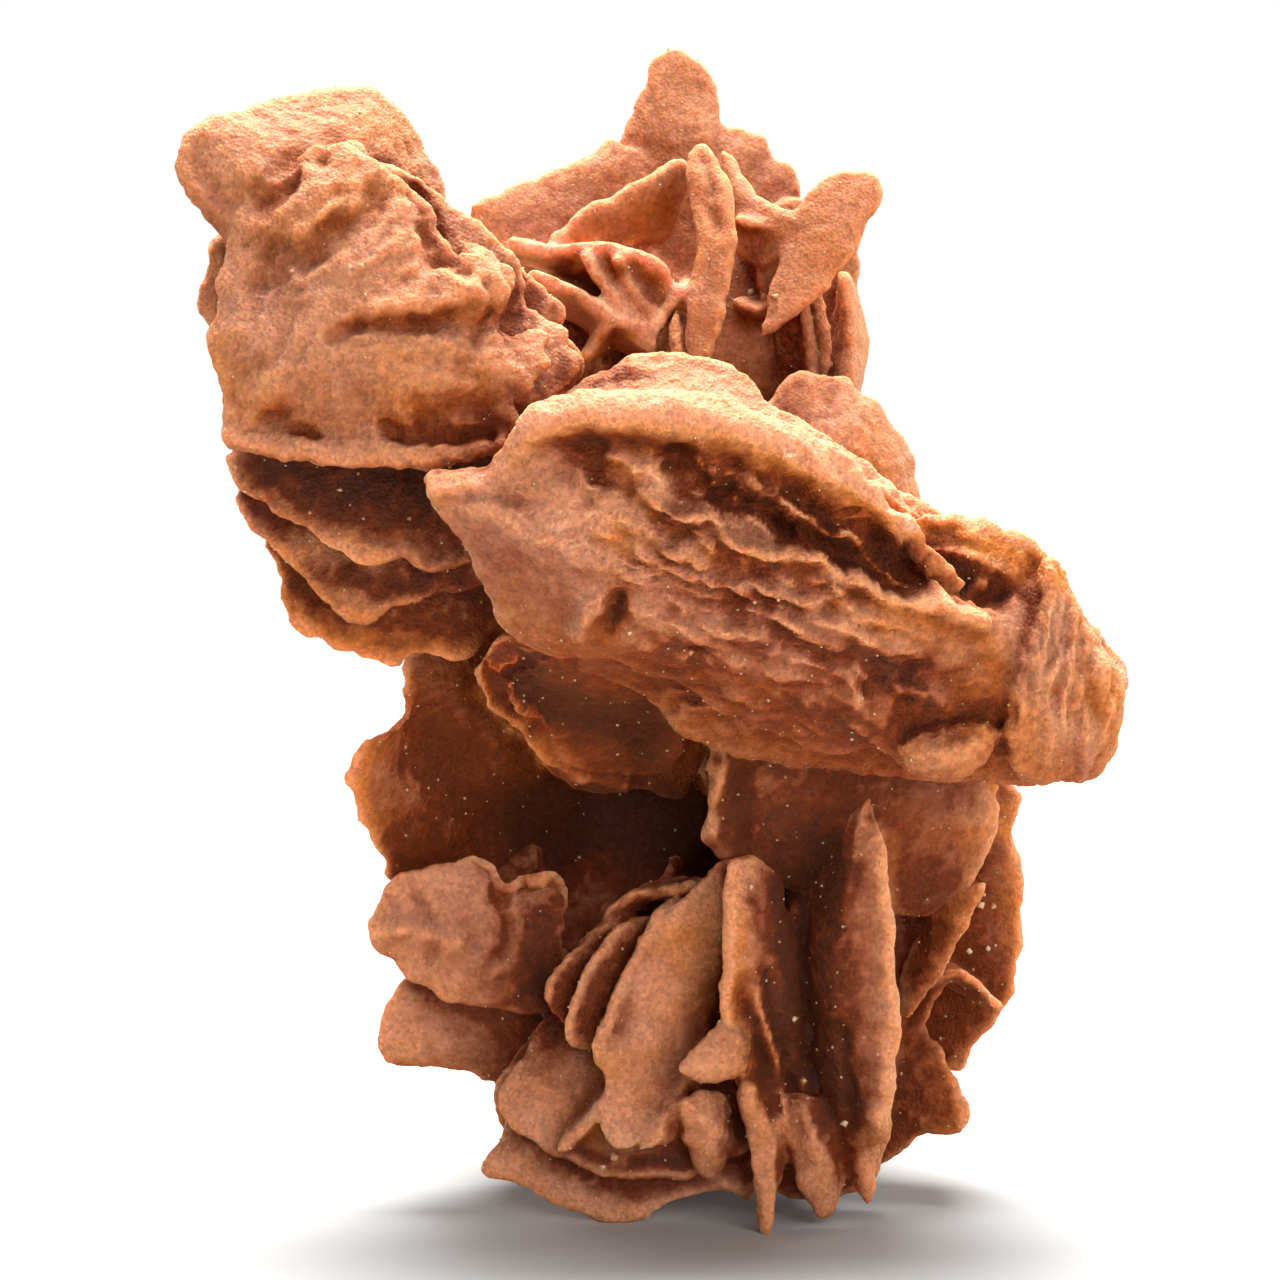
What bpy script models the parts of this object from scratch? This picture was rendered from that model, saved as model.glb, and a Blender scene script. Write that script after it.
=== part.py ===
"""A sandy gypsum rose: lens-shaped blades of gypsum that grew through one another, as one solid.

The blades are measured in millimetres as the front shows them. A place (x, z) is seen from an eye
that looks slightly down on the piece, x to the right and z up, and every blade is laid on its own
plane along those lines of sight. +Z is up, -Y is the front, and the origin is on the ground below
the middle of the piece.
"""

import math

import bmesh
import bpy
import numpy as np

# The eye that the outlines are measured from, in millimetres and degrees.
EYE_DISTANCE = 250.0
EYE_LIFT_DEG = 6.0
AIM_HEIGHT = 34.8  # height on the piece that the eye looks at
AIM_PLACE = 35.76  # z of that height as measured
MIDDLE = (1.16, 2.49)  # x and y of the middle of the piece as measured, which becomes the origin

# Forms that the blades share.
MIDDLE_RING = 0.58  # share of the way out to the rim where the face starts to fall
MIDDLE_SWELL = 0.88  # thickness there, as a share of the middle's
WAVE_LENGTH = 9.0  # mm between swells on a face
WAVE_DEPTH = 0.35  # mm that a face swells or sinks
LEAST_INNER = 0.7  # least share of the way out at which a rim's bevel starts
EDGE_SHARE = 0.8  # most that a bevel's half thickness takes of the plate's
RIM = 0.8  # mm of bevel round a plate
BACK_PLACES = (0.93, 0.75, 0.5, 0.25, 0.07)  # places along a rim behind which the back's points lie
BACK_REACHES = (0.55, 0.93, 1.0, 0.93, 0.55)  # share of the plate's reach that each of them has
FOOT_DEPTH = 12.0  # mm of ground block that cuts the feet flat
SIDE_MARGIN = 60.0
MOST_TRIANGLES = 9400

ROSE_COLOR = (0.56, 0.27, 0.12, 1.0)
ROSE_ROUGHNESS = 0.85

LIFT = math.radians(EYE_LIFT_DEG)
AIM = np.array([0.0, 0.0, AIM_HEIGHT])
EYE = AIM + EYE_DISTANCE * np.array([0.0, -math.cos(LIFT), math.sin(LIFT)])
UP = np.array([0.0, math.sin(LIFT), math.cos(LIFT)])


def clear_scene():
    for thing in list(bpy.data.objects):
        bpy.data.objects.remove(thing, do_unlink=True)


def sight(place):
    """Unit direction from the eye to a measured place (x, z)."""
    x, z = place
    ray = AIM + np.array([x, 0.0, 0.0]) + UP * (z - AIM_PLACE) - EYE
    return ray / np.linalg.norm(ray)


def at_depth(place, depth):
    """The point seen at a place, at y = depth."""
    ray = sight(place)
    return EYE + ray * (depth - EYE[1]) / ray[1]


def on_plane(place, point, normal):
    """The point seen at a place, on the plane through a point."""
    ray = sight(place)
    return EYE + ray * np.dot(point - EYE, normal) / np.dot(ray, normal)


def facing(turn, lean):
    """Unit normal that looks to the front, turned to the right and leant up by degrees."""
    t, up = math.radians(turn), math.radians(lean)
    return np.array([math.sin(t) * math.cos(up), -math.cos(t) * math.cos(up), math.sin(up)])


def waves(points, phase):
    """A smooth swell between -1 and 1 over space, as a sum of slanted sines."""
    x, y, z = (points / WAVE_LENGTH * math.tau).T
    return (
        np.sin(x * 0.83 + z * 0.42 + phase)
        + np.sin(z * 0.91 - y * 0.37 + 2.1 * phase)
        + np.sin(y * 0.77 + x * 0.51 + 3.7 * phase)
    ) / 3


def lens(ring, thick, rim, swollen=True):
    """A closed plate round a 3-D outline: thickest in its middle, with its rim bevelled to an edge.

    A swollen one also has a ring of points half way out, which rises and sinks with the waves.
    """
    ring = np.array(ring)
    following = np.roll(ring, -1, axis=0)
    normal = np.cross(ring, following).sum(axis=0)
    normal /= np.linalg.norm(normal)
    mean = ring.mean(axis=0)
    area = np.linalg.norm(np.cross(ring - mean, following - mean), axis=1)[:, None]
    centre = ((ring + following + mean) / 3 * area).sum(axis=0) / area.sum()
    out = ring - centre
    reach = np.linalg.norm(out, axis=1)[:, None]
    inner = centre + out * np.maximum(1 - rim / reach, LEAST_INNER)
    middle = centre + out * MIDDLE_RING
    phase = centre[0] + 2 * centre[2]
    half = thick / 2
    edge = min(rim, half * EDGE_SHARE)
    swell = half * MIDDLE_SWELL + WAVE_DEPTH * waves(middle, phase)[:, None]
    sink = half * MIDDLE_SWELL - WAVE_DEPTH * waves(middle, phase + 2)[:, None]
    rows = [inner + normal * edge, ring, inner - normal * edge]
    if swollen:
        rows = [middle + normal * swell, *rows, middle - normal * sink]
    n = len(ring)
    points = np.vstack([centre + normal * half, *rows, centre - normal * half])
    faces = []
    for i in range(n):
        j = (i + 1) % n
        faces.append((0, 1 + i, 1 + j))
        for row in range(len(rows) - 1):
            a, b = 1 + row * n + i, 1 + row * n + j
            faces += [(a, a + n, b + n), (a, b + n, b)]
        last = 1 + (len(rows) - 1) * n
        faces.append((last + i, len(points) - 1, last + j))
    return points, faces


def flat(outline, depth, turn, lean, thick, rim=RIM):
    """A blade whose face is seen: its outline laid on a plane that crosses its middle at y = depth."""
    normal = facing(turn, lean)
    point = at_depth(np.mean(outline, axis=0), depth)
    return lens([on_plane(place, point, normal) for place in outline], thick, rim)


def on_edge(rim_line, near, reach, swing, thick, rise=0.0, rim=RIM):
    """A blade seen on its edge: the rim that faces the front, and a rounded back behind it.

    near holds the y of the rim's two ends. The plate runs back by reach, swung to the right and
    raised by degrees.
    """
    depths = np.linspace(near[0], near[1], len(rim_line))
    front = np.array([at_depth(place, y) for place, y in zip(rim_line, depths)])
    s, up = math.radians(swing), math.radians(rise)
    way = np.array([math.sin(s) * math.cos(up), math.cos(s) * math.cos(up), math.sin(up)])
    along = np.linspace(0, 1, len(front))
    back = np.array([np.interp(BACK_PLACES, along, front[:, k]) for k in range(3)]).T
    back += way * reach * np.array(BACK_REACHES)[:, None]
    return lens([*front, *back], thick, rim, False)


def disc(middle, turn, lean, wide, tall, thick, spin=0.0, points=12, point_out=1.2):
    """A free lens of gypsum: an oval with slightly drawn-out ends and uneven lobes."""
    normal = facing(turn, lean)
    side = np.cross([0.0, 0.0, 1.0], normal)
    side /= np.linalg.norm(side)
    top = np.cross(normal, side)
    angle = np.arange(points) * math.tau / points
    lobe = 1 + 0.07 * np.sin(3 * angle + middle[0]) + 0.05 * np.sin(5 * angle + 2 * middle[2])
    u = wide / 2 * np.sign(np.cos(angle)) * np.abs(np.cos(angle)) ** point_out * lobe
    v = tall / 2 * np.sign(np.sin(angle)) * np.abs(np.sin(angle)) ** point_out * lobe
    s = math.radians(spin)
    u, v = u * math.cos(s) - v * math.sin(s), u * math.sin(s) + v * math.cos(s)
    ring = np.array(middle) + u[:, None] * side + v[:, None] * top
    return lens(ring, thick, RIM, False)


def tower():
    """Thick layers that stand one behind the other at the upper left, with a cap behind them."""
    front = [
        (-25.2, 58), (-23.8, 62), (-20, 65.2), (-17, 65.3), (-14, 63.4), (-11.9, 60.4), (-9.3, 58.9),
        (-8.2, 57), (-8.7, 54.3), (-7.3, 51.8), (-6.9, 49), (-8.2, 47.2), (-12, 46.3), (-16, 46.4),
        (-20, 46.5), (-24.8, 47), (-25.1, 50), (-26, 53.9),
    ]
    second = [
        (-21, 64.6), (-17, 65.6), (-14.4, 64.1), (-12.1, 62.9), (-10.2, 61.1), (-8.4, 59.6),
        (-6.9, 58.2), (-6.4, 54.6), (-5.3, 54.2), (-5.9, 52.3), (-6.9, 50), (-9, 48), (-18, 48), (-23, 55),
    ]
    third = [
        (-12, 62), (-9, 59.5), (-6.2, 57.2), (-4.3, 55.4), (-4.6, 54.3), (-3.6, 53.4), (-3, 51.8),
        (-4.6, 50.2), (-8, 47.5), (-14, 47), (-18, 53),
    ]
    cap = [
        (-27.9, 64.6), (-27.2, 66.3), (-25.8, 67.3), (-22, 68.3), (-18.5, 69), (-16.1, 68.9),
        (-14.1, 67.2), (-12.8, 64.9), (-11.7, 62.6), (-12, 58), (-17, 56), (-22, 57), (-25.2, 60.2),
        (-27.4, 62.6),
    ]
    bulge = [
        (-25.7, 59.6), (-25.9, 57.2), (-26.4, 56), (-25.9, 54), (-25, 50), (-24, 46), (-18, 45),
        (-12, 50), (-12, 58), (-18, 62),
    ]
    return [
        flat(front, depth=-13.5, turn=-4, lean=6, thick=5.2, rim=1.5),
        flat(second, depth=-10.5, turn=4, lean=4, thick=4.0, rim=1.2),
        flat(third, depth=-7.5, turn=6, lean=-4, thick=3.6, rim=1.0),
        flat(cap, depth=-8.0, turn=30, lean=14, thick=6.0, rim=1.6),
        flat(bulge, depth=-5.0, turn=-10, lean=-6, thick=4.5, rim=1.4),
        disc((-17.0, -1.0, 55.0), turn=-62, lean=12, wide=15, tall=17, thick=3.2, spin=20),
        disc((-14.0, 0.5, 50.0), turn=55, lean=-8, wide=17, tall=14, thick=3.0, spin=-15),
    ]


def lamellae():
    """Shingled plates below the tower, each a little lower and further back than the last."""
    first = [
        (-24.8, 47), (-24.6, 45.6), (-22.6, 43.5), (-20, 42.3), (-18.5, 41), (-15, 40.3), (-11, 39.9),
        (-9, 42), (-8, 46), (-12, 50), (-20, 50),
    ]
    second = [
        (-23.9, 44.6), (-22.5, 41.4), (-19.5, 38.5), (-18, 36.9), (-15, 37.3), (-11.5, 38.6),
        (-8, 39.5), (-7, 44), (-12, 48), (-20, 48),
    ]
    third = [
        (-22.6, 42), (-21.3, 38.5), (-20.7, 36.6), (-18, 34.9), (-14.4, 34.2), (-12.4, 34.8),
        (-10.5, 34.4), (-8.6, 36.4), (-5, 38), (-4, 44), (-10, 47), (-19, 46),
    ]
    return [
        flat(first, depth=-11.5, turn=-6, lean=-16, thick=2.6, rim=0.9),
        flat(second, depth=-9.0, turn=-4, lean=-14, thick=2.4, rim=0.8),
        flat(third, depth=-6.0, turn=0, lean=-16, thick=3.0, rim=1.1),
        disc((-10.0, 2.0, 42.5), turn=12, lean=-20, wide=22, tall=15, thick=4.0, spin=10),
    ]


def slab():
    """The thick shelf across the middle, which overhangs to the front, and the block at its end."""
    shelf = [
        (-13, 45.1), (-11, 45.8), (-8.8, 46.5), (-6.9, 49.4), (-3, 50.5), (3, 50.6), (7, 49.4),
        (10, 48), (12.6, 46.4), (15, 44), (17.5, 41.4), (20.5, 38.3), (21.3, 35), (21.2, 31),
        (19.8, 28.2), (17.3, 27.6), (15.2, 29.5), (12, 29.2), (8, 30.4), (4, 32.2), (0, 33.8),
        (-5, 35), (-8, 36.3), (-9.5, 40), (-12, 43.4),
    ]
    crest = [
        (-7, 48), (-4.5, 50.8), (-2, 52.2), (1, 53.1), (4.3, 52.8), (6.8, 51.3), (8.4, 49.4),
        (11, 48), (14, 46.1), (16.4, 43.2), (16, 39), (10, 36), (0, 37), (-6, 41),
    ]
    block = [
        (14.8, 42.2), (16.4, 43.1), (19.5, 43.4), (22, 42.6), (24.4, 41.2), (25.4, 38.6), (25.8, 34),
        (25, 30), (24, 27.3), (20, 27.5), (15.5, 30), (13, 36),
    ]
    facet = [
        (24.6, 40.8), (26.2, 38.2), (27.6, 36), (28.9, 34), (28.3, 31.8), (28.4, 29.4), (27.2, 27.6),
        (25, 27), (22.5, 27.6), (22, 31), (23, 36),
    ]
    band = [
        (-8, 36), (-4, 34), (-0.5, 32.8), (1.8, 30.3), (5, 28.9), (10, 28.1), (16, 27.6), (20.5, 27.4),
        (21, 32), (15, 40), (4, 44), (-8, 42),
    ]
    long_rib = [
        (8, 41.6), (12, 40.6), (16, 38.9), (20.6, 37.2), (21.3, 35.2), (17, 35.6), (12, 37.6),
        (8.4, 39.6),
    ]
    upper_rib = [
        (8, 44.6), (11, 43.5), (15, 41), (18.6, 38.6), (18.2, 37.4), (13.5, 39.4), (8.6, 42.2),
    ]
    lumps = [(-2, 47), (1, 46.6), (3.4, 45), (6, 42.6), (5.8, 41.2), (2, 42.8), (-1.6, 45)]
    lower_end = [
        (15, 33.4), (18, 34.2), (20.8, 33.2), (21.3, 31), (20, 28.3), (17.4, 27.6), (15.2, 29.6),
    ]
    nub = [(-4.2, 36.2), (-3, 35.9), (-1.7, 37.2), (-2, 38.3), (-3.2, 38)]
    return [
        flat(shelf, depth=-15.0, turn=0, lean=-27, thick=8.5, rim=2.4),
        flat(crest, depth=-11.5, turn=2, lean=12, thick=8.0, rim=1.6),
        flat(block, depth=-10.5, turn=8, lean=-8, thick=7.5, rim=1.8),
        flat(facet, depth=-9.5, turn=44, lean=-6, thick=6.5, rim=1.4),
        flat(band, depth=-7.5, turn=0, lean=-14, thick=6.0, rim=1.3),
        flat(long_rib, depth=-18.6, turn=4, lean=-30, thick=3.4, rim=1.2),
        flat(upper_rib, depth=-19.6, turn=2, lean=-32, thick=3.0, rim=1.2),
        flat(lumps, depth=-21.0, turn=-4, lean=-30, thick=2.4, rim=1.0),
        flat(lower_end, depth=-14.6, turn=4, lean=-14, thick=3.4, rim=1.1),
        flat(nub, depth=-18.2, turn=-20, lean=-24, thick=3.0, rim=0.7),
        disc((8.0, -2.5, 39.5), turn=6, lean=-16, wide=32, tall=17, thick=9.0, spin=-20, points=14),
        disc((20.0, -4.0, 35.0), turn=-28, lean=-12, wide=16, tall=13, thick=5.0, spin=-12),
        disc((2.0, -4.0, 44.5), turn=-30, lean=22, wide=18, tall=14, thick=4.0, spin=12),
    ]


def core():
    """The blades that hold the rosettes together behind the slab."""
    return [
        disc((4.0, 5.0, 39.0), turn=4, lean=14, wide=24, tall=20, thick=7.0, spin=-6, points=14),
        disc((5.0, 9.0, 27.0), turn=-10, lean=-6, wide=26, tall=30, thick=7.0, spin=8, points=14),
        disc((4.0, 12.0, 36.0), turn=78, lean=4, wide=15, tall=36, thick=5.0, spin=6, points=14),
    ]


def upper_rosette():
    """Thin blades that radiate at the top, behind the slab and the tower."""
    tip = [
        (-0.4, 66.4), (0, 68.6), (0.8, 70.7), (1.8, 71.2), (3, 70.7), (4.3, 69.3), (4.9, 67.2),
        (7, 66.2), (9.5, 63.9), (10, 58), (6, 52), (-1, 53), (-4, 58), (-3, 63.6),
    ]
    left = [
        (-10.4, 61.8), (-8, 63.1), (-4, 64.7), (-1.6, 65.9), (1, 64), (1, 58), (-3, 53), (-7, 55),
        (-9.4, 59),
    ]
    right = [
        (7.4, 54.1), (9.6, 55.6), (12.4, 58.8), (14.4, 61.6), (14.4, 63), (12.4, 64.2), (9.6, 63.8),
        (8.2, 60), (7, 56.5),
    ]
    backing = [
        (7, 61), (10.5, 62.5), (13.2, 60), (13.4, 57.4), (13, 54), (12.4, 51.6), (10, 48), (4, 47),
        (3, 54),
    ]
    flank = [
        (9, 51.5), (12.4, 51.8), (14.6, 49.6), (16, 47.5), (16.8, 44.6), (15, 40), (9, 39), (6, 46),
    ]
    shelf_left = [(-8.5, 60.3), (-5, 59.8), (-2, 59.6), (0.4, 59.1), (2.4, 57.2)]
    slant_left = [(-7.4, 58.5), (-5, 57.7), (-3, 56.6), (-1.4, 55.4), (0.8, 53)]
    slant_inner = [(-4.6, 59.4), (-2, 58.4), (-0.8, 56.8), (0.9, 54.6)]
    riser = [(0.4, 54.2), (1.5, 55.8), (3, 57.4)]
    low_left = [(-3.8, 52.6), (-2.6, 54.4), (-1.6, 56)]
    leaf = [(3.6, 66), (4.7, 63.6), (5, 60), (4.7, 56.4), (3.8, 52.8)]
    leaf_left = [(-2.2, 64.6), (-3.2, 62.6), (-4.6, 60.4)]
    leaf_right = [(5.6, 65.4), (6.4, 63.4), (8.2, 61.6), (9, 58)]
    ledge = [(5.8, 61.4), (8, 61.4), (9.8, 60.8)]
    rib = [(9.8, 55), (10.4, 52), (10.2, 48.6)]
    rib_right = [(11.6, 56.4), (12.4, 53.6), (12.2, 50.6)]
    return [
        flat(tip, depth=18.5, turn=2, lean=6, thick=3.6, rim=0.9),
        flat(left, depth=15.0, turn=-14, lean=-4, thick=2.6, rim=0.8),
        flat(right, depth=12.5, turn=-34, lean=4, thick=2.2, rim=0.8),
        flat(backing, depth=15.0, turn=10, lean=2, thick=4.0, rim=1.0),
        flat(flank, depth=9.0, turn=24, lean=6, thick=4.0, rim=1.0),
        on_edge(shelf_left, near=(9.5, 10), reach=9, swing=0, thick=1.8, rise=-8),
        on_edge(slant_left, near=(9, 10), reach=9, swing=4, thick=1.7, rise=-6),
        on_edge(slant_inner, near=(9.5, 10), reach=8, swing=8, thick=1.6),
        on_edge(riser, near=(9.5, 10), reach=8, swing=4, thick=1.7, rise=4),
        on_edge(low_left, near=(9.5, 10), reach=8, swing=6, thick=1.6),
        on_edge(leaf, near=(12, 8.5), reach=11, swing=-6, thick=2.8),
        on_edge(leaf_left, near=(12.5, 11), reach=8, swing=6, thick=1.7),
        on_edge(leaf_right, near=(12.5, 12.5), reach=8, swing=-8, thick=1.8),
        on_edge(ledge, near=(11.5, 11.5), reach=8, swing=0, thick=1.6, rise=-4),
        on_edge(rib, near=(10.5, 9), reach=8, swing=4, thick=1.6),
        on_edge(rib_right, near=(11.5, 10), reach=8, swing=2, thick=1.6),
    ]


def lower_rosette():
    """The radiating blades below the slab. The lowest of them are the feet."""
    left_leaf = [
        (-13.6, 35.6), (-14.2, 32.6), (-14.8, 30.7), (-16.9, 29), (-17.8, 27.2), (-16.8, 25),
        (-15.2, 21.4), (-10, 18.6), (-4, 19), (1, 24), (0, 32), (-7, 37),
    ]
    under_slab = [
        (-9.8, 34.4), (-9.3, 31.8), (-7.3, 30.1), (-5.8, 28), (-3.6, 26.6), (-0.5, 26.8), (2.6, 26.2),
        (4, 30), (1, 35), (-6, 37),
    ]
    under_inner = [(-8.4, 33), (-6.2, 30.6), (-4.8, 28.6), (-1.5, 28), (2, 28), (3, 32), (-2, 36)]
    salmon = [
        (-15.2, 21.4), (-16.5, 18.4), (-15.6, 16.4), (-13.6, 15.2), (-8, 14), (-4.4, 14), (-4, 18),
        (-4.3, 21.4), (-7.6, 21.4), (-9.6, 22.9), (-12.4, 22.5),
    ]
    low_left = [
        (-13.6, 15.8), (-15.3, 14), (-16, 11.8), (-14.6, 10.2), (-8.8, 9.2), (-3, 9), (-2, 14),
        (-6, 18),
    ]
    bottom = [
        (-8.6, 9.4), (-8.4, 6.8), (-9.6, 4.2), (-7.4, 2.9), (-3.6, 1.1), (-1.2, 0.3), (1, 1.1),
        (3.4, 2.5), (6.9, 2), (7.4, 7), (3, 12), (-4, 14),
    ]
    heel = [
        (4, 9), (6, 3.6), (8.4, 2.6), (10.4, 2.2), (12.4, 2.4), (14.4, 3.6), (15, 8), (12, 12), (7, 12),
    ]
    brow = [
        (4.8, 30), (4.3, 26.8), (3.6, 24), (4.7, 22.6), (7, 21.4), (12, 19.6), (18, 19.4), (21, 23.5),
        (21, 29), (14, 31.4),
    ]
    curved = [
        (4.9, 22.8), (3, 20.6), (1.2, 17), (0, 14), (-1.7, 11), (-2.4, 7.2), (-1.2, 5.2), (1.6, 5),
        (5, 5), (8, 8), (8, 16), (7, 21),
    ]
    left_second = [(0.6, 19), (-0.8, 16.6), (-1.5, 14), (-2.4, 11)]
    left_third = [(-0.6, 17.9), (-2.6, 16.4), (-3.4, 13.6), (-4, 11.6)]
    left_fourth = [(-2.6, 17), (-4.5, 15.6), (-5.3, 13.8)]
    leaflet = [(-2, 20.2), (0, 20.9), (2.4, 20.6)]
    leaflet_low = [(-3.6, 17.9), (-1.6, 19), (0.4, 19.6)]
    spike = [(-5, 4.6), (-3.6, 5.8), (-2, 7.2)]
    petal = [
        (-8.9, 9.4), (-6.4, 10.8), (-3.2, 12.2), (-2.2, 9), (-2.6, 6), (-5, 5.2), (-7.8, 6.4),
    ]
    crossing = [(5.2, 13.2), (3.6, 11.7), (2, 10.3)]
    tall_left = [
        (5.3, 22), (4.9, 18), (5.2, 14), (5, 10.6), (5.8, 8.4), (8, 7.2), (11, 8), (12, 15), (11, 21),
        (8, 23.4),
    ]
    tall_right = [
        (14, 26.3), (14.9, 23), (15.2, 18), (15.9, 13.4), (15.6, 10), (14.6, 6.2), (12.6, 5), (10, 6),
        (8.4, 12), (8.6, 20), (10.6, 25),
    ]
    tip = [(6.4, 9), (6.8, 5), (7.2, 2), (7.5, -0.6)]
    tip_second = [(8.8, 9), (9.2, 5), (10, 2.6), (11, 0.8)]
    tip_third = [(12.4, 8), (12.8, 4), (13.8, 1.8)]
    white_leaf = [(20.8, 21.3), (19.2, 19.4), (17.8, 16.2), (16, 13)]
    low_right = [
        (15.4, 14), (17.6, 11.8), (19.1, 9.2), (19.7, 6.8), (18.6, 5.9), (16.4, 5.8), (14, 4),
        (11, 4.6), (10, 10),
    ]
    right_ledge = [(18, 15.8), (20, 15.1), (21.9, 13.5)]
    right_leaf = [
        (17, 31), (20.6, 29.6), (22, 27.3), (22.8, 26.4), (22.5, 24.4), (23.3, 21.6), (23, 18), (22.6, 15),
        (21.6, 12.6), (19, 9.9), (13, 11), (10, 18), (12, 26),
    ]
    return [
        flat(left_leaf, depth=3.5, turn=34, lean=-6, thick=2.4, rim=0.8),
        flat(under_slab, depth=-2.5, turn=10, lean=-24, thick=2.2, rim=0.9),
        flat(under_inner, depth=-4.0, turn=10, lean=-26, thick=2.0, rim=0.8),
        flat(salmon, depth=2.0, turn=10, lean=6, thick=2.2, rim=0.8),
        flat(low_left, depth=3.0, turn=8, lean=-8, thick=2.4, rim=0.9),
        flat(bottom, depth=-3.2, turn=0, lean=20, thick=3.6, rim=1.1),
        flat(heel, depth=-2.0, turn=6, lean=4, thick=3.0, rim=0.9),
        flat(brow, depth=-1.6, turn=-3, lean=-10, thick=3.4, rim=1.0),
        flat(curved, depth=-3.5, turn=44, lean=-2, thick=2.6, rim=0.9),
        on_edge(left_second, near=(-5, -6), reach=10, swing=14, thick=1.9),
        on_edge(left_third, near=(-4, -5), reach=10, swing=14, thick=1.9),
        on_edge(left_fourth, near=(-3, -4), reach=9, swing=18, thick=1.7),
        on_edge(leaflet, near=(-3, -3), reach=8, swing=6, thick=1.5, rise=8),
        on_edge(leaflet_low, near=(-3.4, -3.4), reach=8, swing=6, thick=1.5, rise=6),
        on_edge(spike, near=(-6.6, -6.6), reach=9, swing=12, thick=1.4),
        on_edge(crossing, near=(-8.5, -8.5), reach=7, swing=16, thick=1.5),
        flat(petal, depth=-4.4, turn=-12, lean=-14, thick=2.0, rim=0.8),
        flat(tall_left, depth=-4.0, turn=50, lean=0, thick=2.4, rim=0.9),
        flat(tall_right, depth=-4.5, turn=-50, lean=0, thick=3.0, rim=1.0),
        on_edge(tip, near=(-6.5, -7), reach=14, swing=6, thick=2.6, rim=2.2),
        on_edge(tip_second, near=(-6, -6.5), reach=14, swing=2, thick=2.6, rise=2, rim=2.0),
        on_edge(tip_third, near=(-3, -4), reach=14, swing=4, thick=2.2, rise=4, rim=1.6),
        on_edge(white_leaf, near=(-2, -1), reach=12, swing=-20, thick=1.5),
        flat(low_right, depth=3.0, turn=-24, lean=6, thick=2.2, rim=0.8),
        on_edge(right_ledge, near=(1, 2), reach=10, swing=-14, thick=1.3, rise=4),
        flat(right_leaf, depth=6.5, turn=-22, lean=2, thick=2.6, rim=0.8),
    ]


def back_blades():
    """The far side: discs that radiate from both rosettes as those of the front do."""
    return [
        disc((1.0, 16.5, 14.0), turn=74, lean=-4, wide=22, tall=30, thick=3.0, spin=6),
        disc((9.0, 14.5, 14.5), turn=-56, lean=4, wide=22, tall=31, thick=2.8, spin=-8),
        disc((-5.0, 12.5, 14.5), turn=40, lean=6, wide=20, tall=30, thick=2.8, spin=10),
        disc((11.0, 10.0, 17.0), turn=-30, lean=8, wide=20, tall=24, thick=2.6, spin=14),
        disc((3.0, 15.0, 22.0), turn=8, lean=-52, wide=24, tall=18, thick=2.6, spin=6),
        disc((3.0, 16.5, 32.0), turn=-70, lean=6, wide=18, tall=22, thick=2.8, spin=-14),
        disc((6.5, 14.0, 36.0), turn=30, lean=-14, wide=20, tall=20, thick=2.8, spin=18),
        disc((-2.0, 14.0, 38.0), turn=-28, lean=16, wide=18, tall=22, thick=2.6, spin=-20),
        disc((3.5, 20.0, 57.0), turn=72, lean=6, wide=14, tall=20, thick=2.4, spin=10),
        disc((6.5, 18.5, 52.0), turn=-48, lean=-10, wide=16, tall=20, thick=2.4, spin=-12),
        disc((-0.5, 18.0, 52.0), turn=44, lean=14, wide=16, tall=20, thick=2.4, spin=16),
        disc((3.0, 17.0, 46.0), turn=10, lean=40, wide=20, tall=16, thick=2.6, spin=-6),
    ]


def add_object(name, points, faces):
    mesh = bpy.data.meshes.new(name)
    middle = np.array([*MIDDLE, 0.0])
    mesh.from_pydata(((np.array(points) - middle) / 1000).tolist(), [], faces)
    thing = bpy.data.objects.new(name, mesh)
    bpy.context.scene.collection.objects.link(thing)
    return thing


def join(target, others, operation):
    """Joins or cuts the target with the others by one exact Boolean, and keeps its result."""
    group = bpy.data.collections.new("operands")
    bpy.context.scene.collection.children.link(group)
    for other in others:
        bpy.context.scene.collection.objects.unlink(other)
        group.objects.link(other)
    modifier = target.modifiers.new("grown together", "BOOLEAN")
    modifier.operation = operation
    modifier.operand_type = "COLLECTION"
    modifier.collection = group
    modifier.solver = "EXACT"
    graph = bpy.context.evaluated_depsgraph_get()
    mesh = bpy.data.meshes.new_from_object(target.evaluated_get(graph))
    target.modifiers.clear()
    target.data = mesh
    for other in others:
        bpy.data.objects.remove(other, do_unlink=True)
    bpy.data.collections.remove(group)


def thin_out(thing, most):
    """Collapses the slivers that crossing blades leave, down to a number of triangles."""
    count = sum(len(face.vertices) - 2 for face in thing.data.polygons)
    modifier = thing.modifiers.new("fewer slivers", "DECIMATE")
    modifier.ratio = min(1.0, most / count)
    modifier.use_collapse_triangulate = True
    graph = bpy.context.evaluated_depsgraph_get()
    mesh = bpy.data.meshes.new_from_object(thing.evaluated_get(graph))
    thing.modifiers.clear()
    thing.data = mesh


def keep_outer_skin(thing):
    """Fills the hollows that the blades close off, by leaving out every surface but the outer one."""
    work = bmesh.new()
    work.from_mesh(thing.data)
    bmesh.ops.triangulate(work, faces=work.faces)
    left = set(work.faces)
    skins = []
    while left:
        skin, edge_of_skin = set(), [left.pop()]
        while edge_of_skin:
            face = edge_of_skin.pop()
            skin.add(face)
            for edge in face.edges:
                for beside in edge.link_faces:
                    if beside in left:
                        left.remove(beside)
                        edge_of_skin.append(beside)
        skins.append(skin)
    skins.sort(key=len)
    for skin in skins[:-1]:
        bmesh.ops.delete(work, geom=list(skin), context="FACES")
    work.to_mesh(thing.data)
    work.free()


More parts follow.
